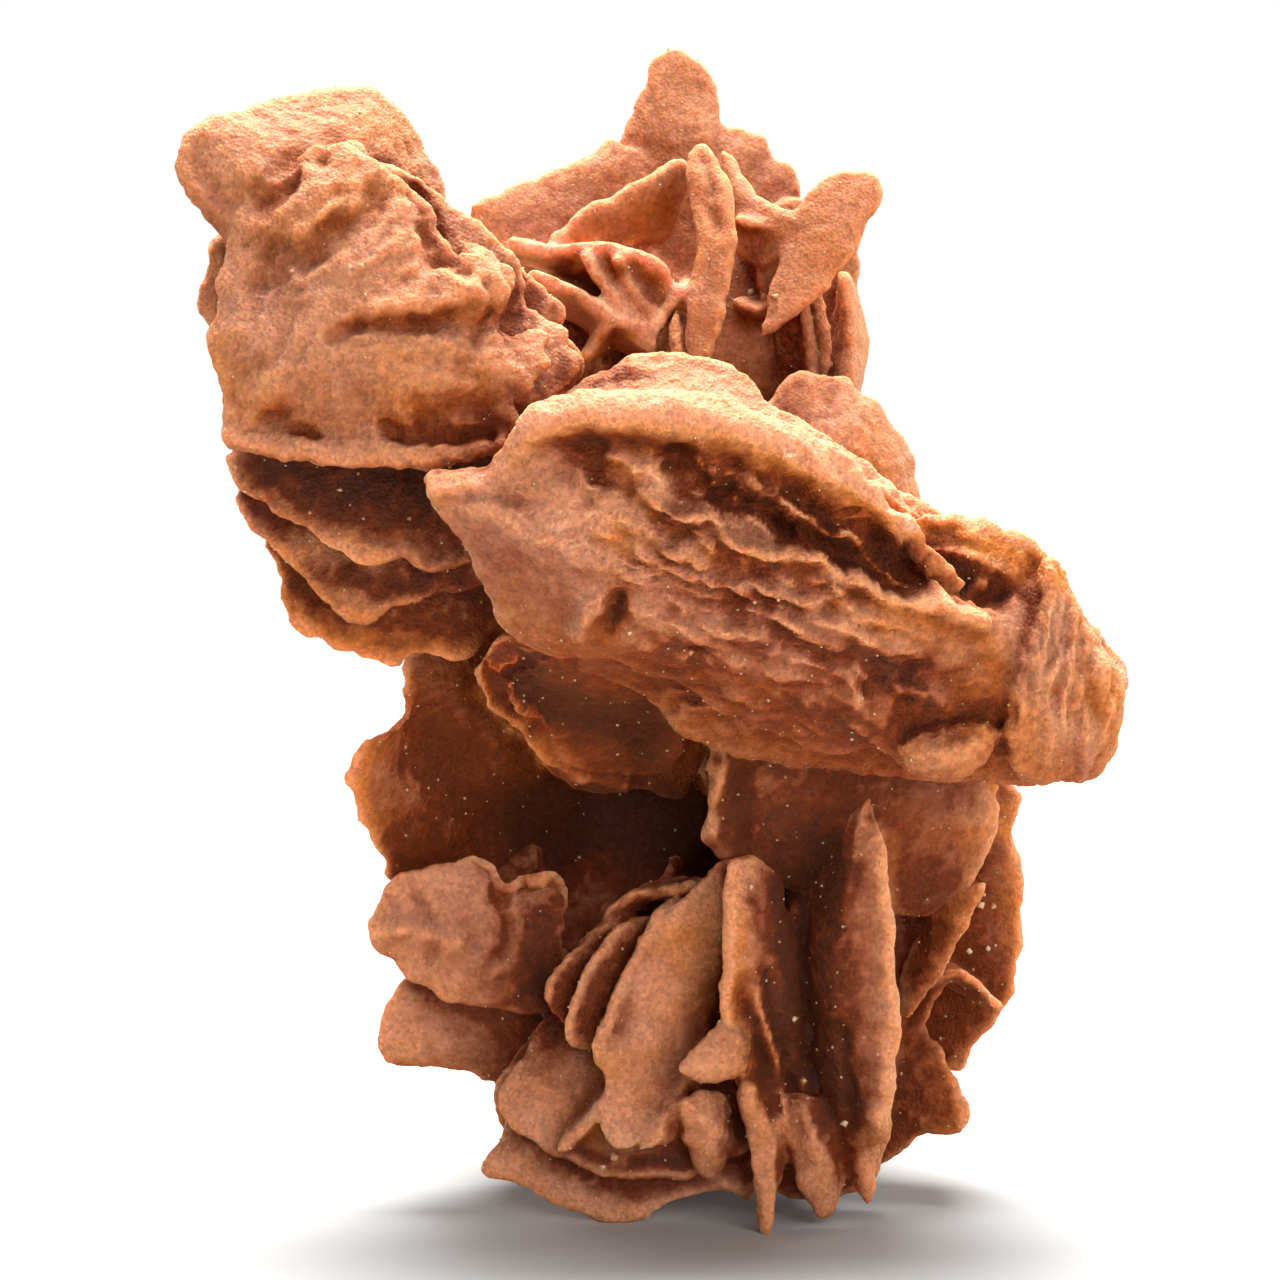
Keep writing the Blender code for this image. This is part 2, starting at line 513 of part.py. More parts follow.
def rose_material():
    material = bpy.data.materials.new("sandy_gypsum")
    material.use_nodes = True
    shader = material.node_tree.nodes["Principled BSDF"]
    shader.inputs["Base Color"].default_value = ROSE_COLOR
    shader.inputs["Roughness"].default_value = ROSE_ROUGHNESS
    return material


def ground_block():
    """A block whose top is the ground. What it cuts off leaves the worn flats of the feet."""
    x, y, z = SIDE_MARGIN, SIDE_MARGIN, FOOT_DEPTH
    points = [(i, j, k) for k in (-z, 0.0) for j in (-y, y) for i in (-x, x)]
    faces = [(0, 2, 3, 1), (4, 5, 7, 6), (0, 1, 5, 4), (2, 6, 7, 3), (0, 4, 6, 2), (1, 3, 7, 5)]
    return add_object("ground", points, faces)


def main():
    clear_scene()
    zones = [tower, lamellae, slab, core, upper_rosette, lower_rosette, back_blades]
    blades = [add_object("blade", *shape) for zone in zones for shape in zone()]
    rose = blades[0]
    rose.name = "gypsum_rose"
    join(rose, blades[1:], "UNION")
    keep_outer_skin(rose)
    thin_out(rose, MOST_TRIANGLES)
    join(rose, [ground_block()], "DIFFERENCE")
    rose.data.materials.clear()
    rose.data.materials.append(rose_material())


main()
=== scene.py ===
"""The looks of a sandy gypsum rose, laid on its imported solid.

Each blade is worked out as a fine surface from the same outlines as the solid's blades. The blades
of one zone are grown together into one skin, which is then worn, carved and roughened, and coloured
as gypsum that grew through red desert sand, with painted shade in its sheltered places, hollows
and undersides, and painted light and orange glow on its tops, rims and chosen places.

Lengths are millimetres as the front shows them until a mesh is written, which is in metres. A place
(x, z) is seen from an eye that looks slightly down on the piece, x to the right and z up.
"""

import math

import bpy
import numpy as np
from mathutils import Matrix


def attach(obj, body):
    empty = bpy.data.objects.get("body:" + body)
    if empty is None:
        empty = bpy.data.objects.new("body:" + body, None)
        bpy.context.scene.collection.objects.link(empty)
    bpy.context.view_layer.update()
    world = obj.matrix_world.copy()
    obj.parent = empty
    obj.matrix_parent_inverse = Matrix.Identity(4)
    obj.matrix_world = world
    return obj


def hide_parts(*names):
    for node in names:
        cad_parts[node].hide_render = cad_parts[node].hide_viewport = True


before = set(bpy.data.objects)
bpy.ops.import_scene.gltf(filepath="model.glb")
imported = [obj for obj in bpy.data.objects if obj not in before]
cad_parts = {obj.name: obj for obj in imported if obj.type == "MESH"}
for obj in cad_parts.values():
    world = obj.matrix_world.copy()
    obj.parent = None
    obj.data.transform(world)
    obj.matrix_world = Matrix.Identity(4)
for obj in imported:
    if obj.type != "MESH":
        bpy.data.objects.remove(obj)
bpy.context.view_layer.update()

# The eye that the outlines are measured from, which is also the camera.
EYE_DISTANCE = 250.0
EYE_LIFT_DEG = 6.0
AIM_HEIGHT = 34.8  # height on the piece that the eye looks at
AIM_PLACE = 35.76  # z of that height as measured
MIDDLE = (1.16, 2.49)  # x and y of the middle of the piece as measured, which is the origin
VIEW_WIDTH = 76.8  # mm that the picture spans at the aim
SENSOR_WIDTH = 36.0

# Forms that the blades share.
RIM = 0.42  # mm over which a blade's edge is rounded
EDGE_SHARE = 0.8  # most that the rounded edge's half thickness takes of the blade's
POINT_GAP = 0.3  # mm between points along a rim
RING_GAP = 0.6  # mm between the rings of points on a face
LEAST_INNER = 0.7  # least share of the way out at which the rounding starts
ROUNDING = (0.0, 0.14, 0.42)  # places across the rounding, as shares of its width
BACK_PLACES = (0.93, 0.75, 0.5, 0.25, 0.07)  # places along a rim behind which the back's points lie
BACK_ENDS = 0.55  # share of the blade's reach that the outermost of them have
LARGE_LOBE, SMALL_LOBE, RIM_WAVE = 3.6, 1.7, 0.8  # mm between the lobes and waves of a rim
LONG_SWELL, SHORT_SWELL = 6.5, 2.8  # mm between the swells of a face
SWELL_FADE = 1.5  # mm from the rim over which the swells grow

FINE, MIDDLING, COARSE = 0.23, 0.24, 0.4  # mm between the points of a grown-together skin
QUICK_SHARE = 1.0
LEAST_SKIN = 2.0  # cubic mm that a skin of its own encloses at least
SHELTER_CELL = 0.6  # mm
SHELTER_MARGIN = 10.0  # mm of room round the skins, so that what is spread doesn't wrap round
SHELTER_SIZES = ((1.3, 0.55), (3.2, 0.75))  # distance in mm, and its share
LONE_FACE, SHELTER_SPAN = 0.4, 1.1  # skin before a lone flat face, and how much more is full shelter
LUMPS = [(0.13, 2.6, 41), (0.1, 1.25, 42), (0.08, 0.7, 43), (0.045, 0.42, 44)]  # height, size in mm, seed
CREASE_HEIGHT, CREASE_SIZE = 0.045, 1.1  # mm
STEP_HEIGHT, STEP_SIZE = 0.16, 4.2  # mm of a growth step, and between the rises that it goes round
STEPS, STEP_RAGGED = 2.6, 0.5  # steps on a rise, and how far their edges stray, in steps
FALL_SHARE, RISE_SHARE = 0.72, 0.28  # shares of a step that only fall, and that rise again
STRAY, STRAY_SIZE = 0.35, 2.4  # mm that strokes stray from their paths, and between the turns
BREAK_SIZE, THIN_STROKE = 1.3, 1.0  # mm between breaks in a stroke, and width below which it has them
FRAY, FRAY_SIZE = 0.5, 1.6  # mm by which the edges of stains stray, and between the turns
DUST_AND_LIGHT_ON_WALL, DUST_AND_LIGHT_UP, DUST_AND_LIGHT_SUNK = 0.42, 0.6, 0.25  # dust and painted light on a wall, more on a top, less per mm of depth
UNDER_SLOPE, UNDER_SHADE = 1.2, 0.8  # how soon a face that looks down is an underside, and its painted shade
SHADE_LOST_PER_MM, LEAST_SHADE_KEPT = 3.0, 0.15  # share of the painted shade lost where the skin stands out, so that rims are painted lighter, and least kept
# Most painted shade that a point can have.
MOST_SHADE = 1.5
GROUND = 0.02  # mm, the lowest that anything lies
# The lower rosette's roughness, its sand, and how strongly its sheltered places are painted with shade.
LEAFLETS = {"roughness": 0.55, "sand": 0.6, "shade_strength": 1.1}  # the skin of the lower rosette

# The materials' patterns, in mm: grains as wide as the sand's, and patches as wide as the dust's.
PATCHES, TINTS, COARSE_GRAINS = (7, 3.0, 0.6), (1.6, 4.0, 0.65), (0.5, 3.0, 0.7)  # size, detail, roughness
DUST_AND_LIGHT_IN_HUE = 0.6  # how much the dust and painted light count against the dust's patches
TINTED_GRAIN, RAISED_GRAIN, BUMP_HEIGHT = 0.24, 0.21, 0.13
ONE_SAND_TINT = 1.4  # width of the room in which loose grains share a tint
GYPSUM_GLOW, QUARTZ_GLOW = 0.9, 0.3  # how far light runs inside

LOOSE_GRAINS, LEAST_GRAIN, MOST_GRAIN = 4000, 0.05, 0.14  # how many, and their radii in mm
GRIT = [
    # place and radius in mm of larger grains, which lie in crannies
    ((20.5, 19.5), 0.34), ((21.3, 19.4), 0.3), ((19.5, 16.8), 0.3), ((21.0, 17.0), 0.26),
    ((10.0, 9.5), 0.36), ((9.6, 13.0), 0.3), ((12.0, 6.5), 0.34), ((7.0, 21.0), 0.26),
    ((-1.7, 4.5), 0.4), ((-2.3, 4.2), 0.3), ((6.4, 56.9), 0.4), ((7.2, 56.7), 0.36), ((7.8, 56.5), 0.3),
    ((-0.8, 35.8), 0.24), ((3.4, 35.0), 0.22), ((-17.6, 58.4), 0.24), ((-16.9, 58.2), 0.2),
    ((-18.2, 44.6), 0.22), ((-14.0, 43.4), 0.2),
]
TABLE_RADIUS = 0.27  # metres
TABLE_CORNERS = 96
LIGHTS = [
    # name, its place, the place that it lights, its side in metres, its power in watts
    ("overhead_light", (0.0, 0.06, 0.42), (0, 0, 0.03), 0.28, 5.2),
    ("back_left_light", (-0.35, 0.3, 0.25), (0, 0, 0.04), 0.3, 1.0),
    ("back_right_light", (0.35, 0.3, 0.25), (0, 0, 0.04), 0.3, 1.0),
    ("front_light", (0.16, -0.4, 0.14), (0, 0, 0.02), 0.34, 1.3),
]
TENT_LIGHT, TENT_SEEN = 0.05, 1.0  # strength of the tent's glow on the piece, and as the eye sees it
MM = 0.001

LIFT = math.radians(EYE_LIFT_DEG)
AHEAD = np.array([0.0, math.cos(LIFT), -math.sin(LIFT)])
UP = np.array([0.0, math.sin(LIFT), math.cos(LIFT)])
AIM = np.array([0.0, 0.0, AIM_HEIGHT])
EYE = AIM - EYE_DISTANCE * AHEAD


def unit(vectors):
    """Vectors divided by their lengths."""
    return vectors / np.maximum(np.linalg.norm(vectors, axis=-1, keepdims=True), 1e-9)


def sight(places):
    """Unit directions from the eye to measured places (x, z)."""
    places = np.asarray(places, float)
    ahead = AIM - EYE + UP * (places[..., 1:] - AIM_PLACE)
    ahead[..., 0] += places[..., 0]
    return unit(ahead)


def at_depth(places, depth):
    """The points seen at places, at y = depth: eye + ray (depth - eye y) / ray y."""
    ray = sight(places)
    return EYE + ray * ((depth - EYE[1]) / ray[..., 1])[..., None]


def on_plane(places, point, normal):
    """The points seen at places, where their rays meet the plane through a point."""
    ray = sight(places)
    return EYE + ray * (np.dot(point - EYE, normal) / (ray @ normal))[..., None]


def seen_at(points):
    """The places (x, z) at which the eye sees points: sideways and up over ahead, times the distance."""
    out = points - EYE
    scale = EYE_DISTANCE / (out @ AHEAD)
    return np.stack([out[:, 0] * scale, AIM_PLACE + (out @ UP) * scale], axis=1)


def facing(turn, lean):
    """Unit normal that looks to the front, turned to the right and leant up by degrees."""
    t, up = math.radians(turn), math.radians(lean)
    return np.array([math.sin(t) * math.cos(up), -math.cos(t) * math.cos(up), math.sin(up)])


def lattice_noise(points, size, seed):
    """Smooth noise of about -1 to 1 that changes over size.

    Each corner of a cubic lattice has a random slope, and the eight slopes round a point are blended
    by 6 t^5 - 15 t^4 + 10 t^3.
    """
    slopes = unit(np.random.default_rng(seed).normal(size=(4096, 3)))
    place = points / size + 512.0
    cell = np.floor(place).astype(np.int64)
    part = place - cell
    blend = part**3 * (part * (part * 6 - 15) + 10)
    total = np.zeros(len(points))
    for corner in np.ndindex(2, 2, 2):
        at = cell + corner
        key = (at[:, 0] * 73856093) ^ (at[:, 1] * 19349663) ^ (at[:, 2] * 83492791)
        weight = np.prod(np.where(corner, blend, 1 - blend), axis=1)
        total += weight * np.einsum("ij,ij->i", slopes[key & 4095], part - corner)
    return total * 1.8


def smooth_ring(corners, gap):
    """A closed curve through corners, its points a gap apart.

    Between two corners it is a cubic Hermite curve, whose tangents are Catmull-Rom's over the square
    roots of the corners' distances, so that it doesn't loop.
    """
    corners = np.asarray(corners, float)
    step = np.sqrt(np.linalg.norm(np.roll(corners, -1, axis=0) - corners, axis=1))[:, None]
    before = np.roll(step, 1, axis=0)
    tangent = (np.roll(corners, -1, axis=0) - np.roll(corners, 1, axis=0)) / (step + before)
    start = tangent * step
    end = np.roll(tangent, -1, axis=0) * step
    t = (np.arange(16) / 16)[None, :, None]
    a, b = corners[:, None], np.roll(corners, -1, axis=0)[:, None]
    curve = (
        a * (2 * t**3 - 3 * t**2 + 1)
        + b * (3 * t**2 - 2 * t**3)
        + start[:, None] * (t**3 - 2 * t**2 + t)
        + end[:, None] * (t**3 - t**2)
    ).reshape(-1, corners.shape[1])
    curve = np.vstack([curve, curve[:1]])
    along = np.concatenate([[0], np.cumsum(np.linalg.norm(np.diff(curve, axis=0), axis=1))])
    count = max(24, int(along[-1] / gap))
    even = np.linspace(0, along[-1], count, endpoint=False)
    return np.stack([np.interp(even, along, curve[:, k]) for k in range(curve.shape[1])], axis=1)


def lobes(points, depth):
    """How far a rim stands out: two sizes of round lobes with notches between, and fine waves.

    The lobes are 2 |noise| - 0.6, and the waves plain noise.
    """
    return depth * (
        1.0 * (2 * np.abs(lattice_noise(points, LARGE_LOBE, 11)) - 0.6)
        + 0.45 * (2 * np.abs(lattice_noise(points, SMALL_LOBE, 12)) - 0.6)
        + 0.2 * lattice_noise(points, RIM_WAVE, 13)
    )


def plate(corners, thick, rim=RIM, lobe=0.3, swell=0.22):
    """A closed blade round a 3-D outline, as a grid of profiles that run from its middle over its rim.

    Across the rounding, at a distance d inside the rim, the half thickness is the edge's times
    sqrt(1 - (1 - d / rim)^2). Inside it, at a share s of the way out, it grows towards the middle's
    with 1 - s^2. Each face then swells by noise.
    """
    ring = smooth_ring(corners, POINT_GAP)
    along = np.roll(ring, -1, axis=0) - np.roll(ring, 1, axis=0)
    normal = unit(np.cross(ring, np.roll(ring, -1, axis=0)).sum(axis=0))
    ring = ring + unit(np.cross(along, normal)) * lobes(ring, lobe)[:, None]
    following = np.roll(ring, -1, axis=0)
    mean = ring.mean(axis=0)
    area = np.linalg.norm(np.cross(ring - mean, following - mean), axis=1)[:, None]
    centre = ((ring + following + mean) / 3 * area).sum(axis=0) / area.sum()
    out = ring - centre
    reach = np.linalg.norm(out, axis=1)[None, :, None]
    half = thick / 2
    edge = min(rim, half * EDGE_SHARE)
    inner = np.maximum(1 - rim / reach, LEAST_INNER)
    across = np.array(ROUNDING)[:, None, None]
    edge_shares = 1 - (1 - inner) * across
    edge_halves = edge * np.sqrt(1 - (1 - across) ** 2) + 0 * edge_shares
    rings = max(3, math.ceil(reach.mean() / RING_GAP))
    inward = (1 - np.arange(rings) / rings)[:, None, None]
    face_shares = inner * inward
    face_halves = edge + (half - edge) * (1 - inward**2) + 0 * face_shares
    shares = np.concatenate([edge_shares, face_shares])
    halves = np.concatenate([edge_halves, face_halves])
    base = centre + out[None] * shares
    inside = np.clip(reach * (1 - shares) / SWELL_FADE, 0, 1)
    rows = []
    for side in (1, -1):
        moved = base + side * normal * halves
        flat_rows = moved.reshape(-1, 3)
        wave = lattice_noise(flat_rows, LONG_SWELL, 21) + 0.5 * lattice_noise(flat_rows, SHORT_SWELL, 22)
        wave = wave.reshape(*moved.shape[:2], 1) * min(swell, thick / 8) * inside
        rows.append(moved + side * normal * wave)
    grid = np.concatenate([rows[0][::-1], rows[1][1:]])
    count = ring.shape[0]
    points = np.vstack([centre + normal * half, grid.reshape(-1, 3), centre - normal * half])
    i = np.arange(count)
    j = (i + 1) % count
    down = (1 + np.arange(len(grid) - 1) * count)[:, None]
    quads = np.stack([down + i, down + i + count, down + j + count, down + j], axis=2).reshape(-1, 4)
    last = 1 + (len(grid) - 1) * count
    first_fan = np.stack([0 * i, 1 + i, 1 + j], axis=1)
    last_fan = np.stack([0 * i + len(points) - 1, last + j, last + i], axis=1)
    return points, quads, np.vstack([first_fan, last_fan])


def flat(outline, depth, turn, lean, thick, rim=RIM, **forms):
    """A blade whose face is seen: its outline laid on a plane that crosses its middle at y = depth."""
    point = at_depth(np.mean(outline, axis=0), depth)
    return plate(on_plane(outline, point, facing(turn, lean)), thick, rim, **forms)


def on_edge(rim_line, near, reach, swing, thick, rise=0.0, rim=RIM, ends=BACK_ENDS, **forms):
    """A blade seen on its edge: the rim that faces the front, and a rounded back behind it.

    near holds the y of the rim's two ends. The blade runs back by reach, swung to the right and
    raised by degrees, and at its ends by a share of reach.
    """
    front = at_depth(rim_line, np.linspace(near[0], near[1], len(rim_line)))
    s, up = math.radians(swing), math.radians(rise)
    way = np.array([math.sin(s) * math.cos(up), math.cos(s) * math.cos(up), math.sin(up)])
    along = np.linspace(0, 1, len(front))
    back = np.array([np.interp(BACK_PLACES, along, front[:, k]) for k in range(3)]).T
    middle = (1 + ends) / 2 + 0.15
    back += way * reach * np.array([ends, middle, 1.0, middle, ends])[:, None]
    return plate(np.vstack([front, back]), thick, rim, **forms)


def disc(middle, turn, lean, wide, tall, thick, spin=0.0, points=12, point_out=1.2, **forms):
    """A free lens of gypsum: an oval with slightly drawn-out ends and uneven lobes."""
    normal = facing(turn, lean)
    side = unit(np.cross([0.0, 0.0, 1.0], normal))
    top = np.cross(normal, side)
    angle = np.arange(points) * math.tau / points
    lobe = 1 + 0.07 * np.sin(3 * angle + middle[0]) + 0.05 * np.sin(5 * angle + 2 * middle[2])
    u = wide / 2 * np.sign(np.cos(angle)) * np.abs(np.cos(angle)) ** point_out * lobe
    v = tall / 2 * np.sign(np.sin(angle)) * np.abs(np.sin(angle)) ** point_out * lobe
    s = math.radians(spin)
    u, v = u * math.cos(s) - v * math.sin(s), u * math.sin(s) + v * math.cos(s)
    return plate(np.array(middle) + u[:, None] * side + v[:, None] * top, thick, **forms)


TOWER_STROKES = [
    # path of places, width, height
    ([(-19.6, 64.7), (-21.3, 63.2), (-22.8, 61.9)], 0.8, -0.7),
    ([(-15.6, 62.2), (-17.5, 60.8), (-18.9, 59.8), (-20.2, 58.5)], 1.0, -0.6),
    ([(-17.0, 62.6), (-18.6, 61.4), (-20.4, 60.2)], 0.7, 0.35),
    ([(-22.5, 58.8), (-22.9, 57.2)], 1.5, -0.7),
    ([(-21.0, 57.6), (-19.0, 57.9)], 0.4, 0.22),
    ([(-18.8, 54.0), (-17.0, 54.5), (-15.0, 54.6)], 0.45, -0.7),
    ([(-15.4, 54.4), (-13.2, 54.8), (-11.6, 55.2)], 0.4, -0.6),
    ([(-16.0, 55.5), (-12.0, 56.3), (-10.0, 56.6)], 0.7, 0.35),
    ([(-15.2, 48.6), (-13.0, 48.0), (-10.5, 47.9), (-8.8, 48.2)], 0.3, -0.8),
    ([(-12.8, 49.2), (-9.4, 49.5)], 1.0, -0.6),
    ([(-22.6, 49.1), (-21.4, 49.0)], 0.3, -0.5),
    ([(-21.0, 48.5), (-19.6, 48.3)], 0.3, -0.6),
    ([(-9.0, 53.6), (-8.5, 50.8)], 1.1, 0.4),
    ([(-11.0, 58.4), (-9.4, 56.4)], 1.2, 0.4),
    ([(-26.6, 64.6), (-25.6, 62.8)], 1.1, -0.5),
    ([(-13.6, 62.6), (-12.4, 60.2), (-12.2, 58.4), (-10.4, 57.8)], 0.45, -0.8),
    ([(-9.2, 57.2), (-8.8, 55.4), (-9.6, 53.8)], 0.35, -0.6),
]
TOWER_STREAKS = [
    # centre, radii, angle, long, short, height
    ((-16.5, 51.5), (11, 6), 4, 4.0, 0.7, 0.12),
    ((-17.5, 60.5), (9, 6), 42, 3.0, 0.9, 0.2),
    ((-22.0, 52.0), (5, 8), 80, 3.0, 0.9, 0.16),
]
# How much more painted shade the skin has, or painted light where negative: path, width, amount.
TOWER_PAINTED_SHADE = [
    ([(-22.8, 60.2), (-21.8, 57.8), (-20.8, 56.4)], 1.5, 0.4),
    ([(-17.6, 61.4), (-19.8, 59.8)], 0.9, 0.35),
    ([(-17.8, 54.5), (-13.0, 54.9)], 0.6, 0.45),
    ([(-14.2, 48.3), (-9.2, 48.6)], 0.4, 0.3),
    ([(-13.0, 50.0), (-9.0, 50.4)], 1.6, -0.35),
    ([(-8.2, 56.2), (-6.6, 55.0)], 0.8, 0.1),
    ([(-6.6, 52.6), (-5.0, 54.6)], 1.6, -0.6),
    ([(-25.8, 63.8), (-25.8, 60.6)], 1.2, 0.2),
    ([(-22.6, 49.0), (-19.6, 48.4)], 0.3, 0.3),
    ([(-23.0, 53.0), (-16.0, 51.0), (-10.0, 51.4)], 2.6, 0.16),
]
# Painted shade, and painted light where negative: path, width, amount.
LAMELLA_PAINTED_SHADE = [
    ([(-22.5, 45.7), (-16.0, 45.3), (-9.5, 45.4)], 1.5, 0.75),
    ([(-20.0, 43.4), (-12.0, 43.0)], 1.3, 0.4),
    ([(-20.4, 39.6), (-13.0, 39.4), (-10.0, 38.8)], 0.9, 0.4),
    ([(-20.8, 36.6), (-19.0, 35.4), (-15.0, 34.4), (-11.0, 34.8)], 0.8, -0.5),
    ([(-20.4, 41.2), (-16.0, 40.6)], 1.2, -0.7),
    ([(-18.4, 37.0), (-14.0, 36.4), (-10.0, 36.8)], 1.2, 0.1),
]
# Painted orange glow, where less dust and painted light lie so that the clear orange gypsum shows, or
# paler where negative: path, width, amount.
LAMELLA_PAINTED_GLOW = [
    ([(-21.4, 38.0), (-18.0, 35.6), (-12.0, 35.4)], 1.8, 0.6),
]
# Painted shade, and painted light where negative: path, width, amount.
SLAB_PAINTED_SHADE = [
    ([(-4.0, 46.7), (0.0, 46.4), (4.0, 45.4), (8.0, 43.8), (12.0, 41.9), (15.5, 40.4)], 1.7, 0.65),
    ([(-7.0, 49.0), (-2.0, 49.5), (4.0, 49.2), (9.0, 47.3), (13.0, 45.1), (16.0, 42.9)], 1.4, -0.8),
    ([(-4.6, 43.2), (-2.4, 42.8), (0.0, 44.4)], 1.3, -0.8),
    ([(-1.8, 46.7), (0.2, 46.0), (1.6, 44.9)], 0.7, -1.0),
    ([(-2.6, 45.0), (1.5, 43.2), (5.0, 41.8)], 0.8, 0.6),
    ([(-2.4, 43.6), (0.4, 42.0), (3.0, 40.6)], 0.7, 0.4),
    ([(5.6, 39.9), (10.0, 38.9), (14.0, 37.9)], 0.7, 0.6),
    ([(7.0, 36.6), (11.0, 34.8), (14.0, 34.0)], 1.5, 0.5),
    ([(10.0, 32.4), (14.0, 31.0)], 1.6, 0.35),
    ([(4.0, 37.6), (9.0, 36.8)], 0.8, 0.35),
    ([(15.4, 33.2), (17.2, 32.2)], 0.8, 0.7),
    ([(1.0, 34.2), (6.0, 32.0), (12.0, 30.2)], 1.4, 0.25),
    ([(16.5, 41.2), (20.0, 39.8), (22.4, 38.6)], 0.8, 0.55),
    ([(24.4, 38.6), (23.2, 33.0)], 0.6, 0.4),
    ([(26.4, 36.0), (26.6, 31.0)], 1.2, 0.2),
    ([(-1.7, 36.6), (-1.4, 37.8)], 0.5, 0.8),
    ([(2.4, 35.4), (3.6, 34.9)], 0.5, 0.4),
    ([(-12.0, 45.0), (-9.0, 46.0), (-7.4, 48.4)], 0.9, -0.3),
    ([(16.2, 43.0), (20.0, 43.0), (24.0, 41.4)], 0.7, -0.5),
    ([(16.6, 30.4), (18.4, 30.0), (20.2, 30.8)], 1.5, 0.35),
    ([(-9.4, 41.4), (-6.0, 39.0), (0.0, 37.4), (5.0, 36.4)], 2.6, 0.16),
    ([(15.0, 35.0), (20.0, 34.0)], 2.2, 0.16),
]
# Painted orange glow, and paler where negative: path, width, amount.
SLAB_PAINTED_GLOW = [
    ([(16.0, 42.0), (19.0, 42.4), (22.4, 41.6), (24.6, 39.6)], 1.5, 0.8),
    ([(16.6, 30.4), (18.4, 30.0), (20.2, 30.8)], 1.8, 0.6),
    ([(25.6, 39.2), (28.4, 34.8), (28.2, 30.0)], 0.6, 0.4),
    ([(24.0, 37.0), (24.8, 30.0)], 1.6, -0.5),
    ([(-4.0, 49.0), (4.0, 48.6), (10.0, 46.4), (15.0, 43.0)], 1.0, 0.5),
    ([(-1.7, 36.6), (-1.4, 37.8)], 0.9, 0.7),
    ([(-10.0, 43.0), (-5.0, 40.0), (2.0, 37.4), (9.0, 34.4)], 3.6, -0.6),
]
SLAB_STROKES = [
    ([(-7.4, 48.6), (-4, 49.2), (1, 49.4), (5, 48.8), (9, 47.4), (12.4, 45.2), (15.4, 42.6)], 1.3, 0.6),
    ([(-3, 46.6), (1, 46), (5, 44.8), (9, 43), (13, 41.2), (16.5, 40.0)], 1.8, -1.6),
    ([(-1.6, 46.4), (0.4, 46.0), (1.6, 44.9)], 0.6, 0.8),
    ([(0.2, 44.4), (3.0, 43.4), (5.2, 42.4), (6.0, 41.4)], 0.6, 0.7),
    ([(2.4, 45.6), (5.6, 44.2), (8.4, 42.2)], 0.7, -1.2),
    ([(2.0, 47.2), (6.0, 46.0), (9.6, 44.2), (12.0, 42.4)], 0.6, -0.8),
    ([(3.6, 46.6), (6.6, 45.6), (9.8, 43.6)], 0.5, 0.5),
    ([(8.0, 41.3), (10.0, 41.0), (12.0, 40.0), (14.0, 39.0), (17.0, 38.0), (20.4, 36.9)], 0.6, 0.9),
    ([(9.0, 44.0), (11.0, 42.6), (13.5, 41.5), (15.0, 40.2), (17.0, 38.9), (18.0, 38.0)], 0.5, 0.9),
    ([(8.4, 42.7), (11.0, 41.6), (14.0, 40.2), (16.6, 38.7)], 0.4, -1.3),
    ([(13.0, 44.2), (14.0, 42.2), (15.2, 40.8), (17.0, 39.7), (20.0, 39.0), (21.6, 38.5)], 0.8, -1.4),
    ([(19.4, 37.7), (20.0, 37.5)], 0.5, -1.0),
    ([(5.0, 37.8), (8.0, 38.0), (11.0, 37.3), (13.2, 37.3)], 0.35, -0.7),
    ([(7.0, 39.6), (10.0, 39.0), (13.0, 38.2)], 0.4, -0.6),
    ([(14.2, 32.4), (15.6, 33.4), (17.2, 33.6)], 0.8, -1.0),
    ([(15.4, 30.6), (16.0, 31.8)], 0.4, -0.6),
    ([(-6.0, 47.2), (-2.0, 47.4), (2.0, 47.0), (6.0, 46.3), (9.0, 45.3), (12.0, 43.4)], 0.6, -0.8),
    ([(-1.0, 44.6), (0.6, 42.8), (3.4, 41.0)], 0.4, -0.6),
    ([(3.3, 35.1), (3.8, 34.9)], 0.45, -0.6),
    ([(8.0, 36.0), (11.0, 34.2), (14.0, 33.6)], 0.9, -0.5),
    ([(-11.6, 44.0), (-6.5, 44.2), (-3.5, 44.0)], 0.3, -0.4),
    ([(23.4, 33.5), (22.4, 30.8)], 0.5, -0.5),
    ([(24.9, 40.4), (24.4, 38.0), (23.8, 35.0), (22.8, 31.0)], 0.5, 0.6),
    ([(-3.6, 36.4), (-3.0, 37.2), (-2.4, 37.9)], 0.7, 1.4),
    ([(-1.9, 36.4), (-1.5, 37.8)], 0.45, -0.9),
]
SLAB_STREAKS = [
    ((9.0, 40.5), (14, 8), -24, 4.0, 0.95, 0.85),
    ((6.0, 42.0), (14, 7), -26, 1.6, 0.55, 0.6),
    ((8.0, 33.5), (14, 5), -20, 2.6, 0.9, 0.4),
    ((26.2, 34.0), (4, 9), 80, 5.0, 0.6, 0.5),
]


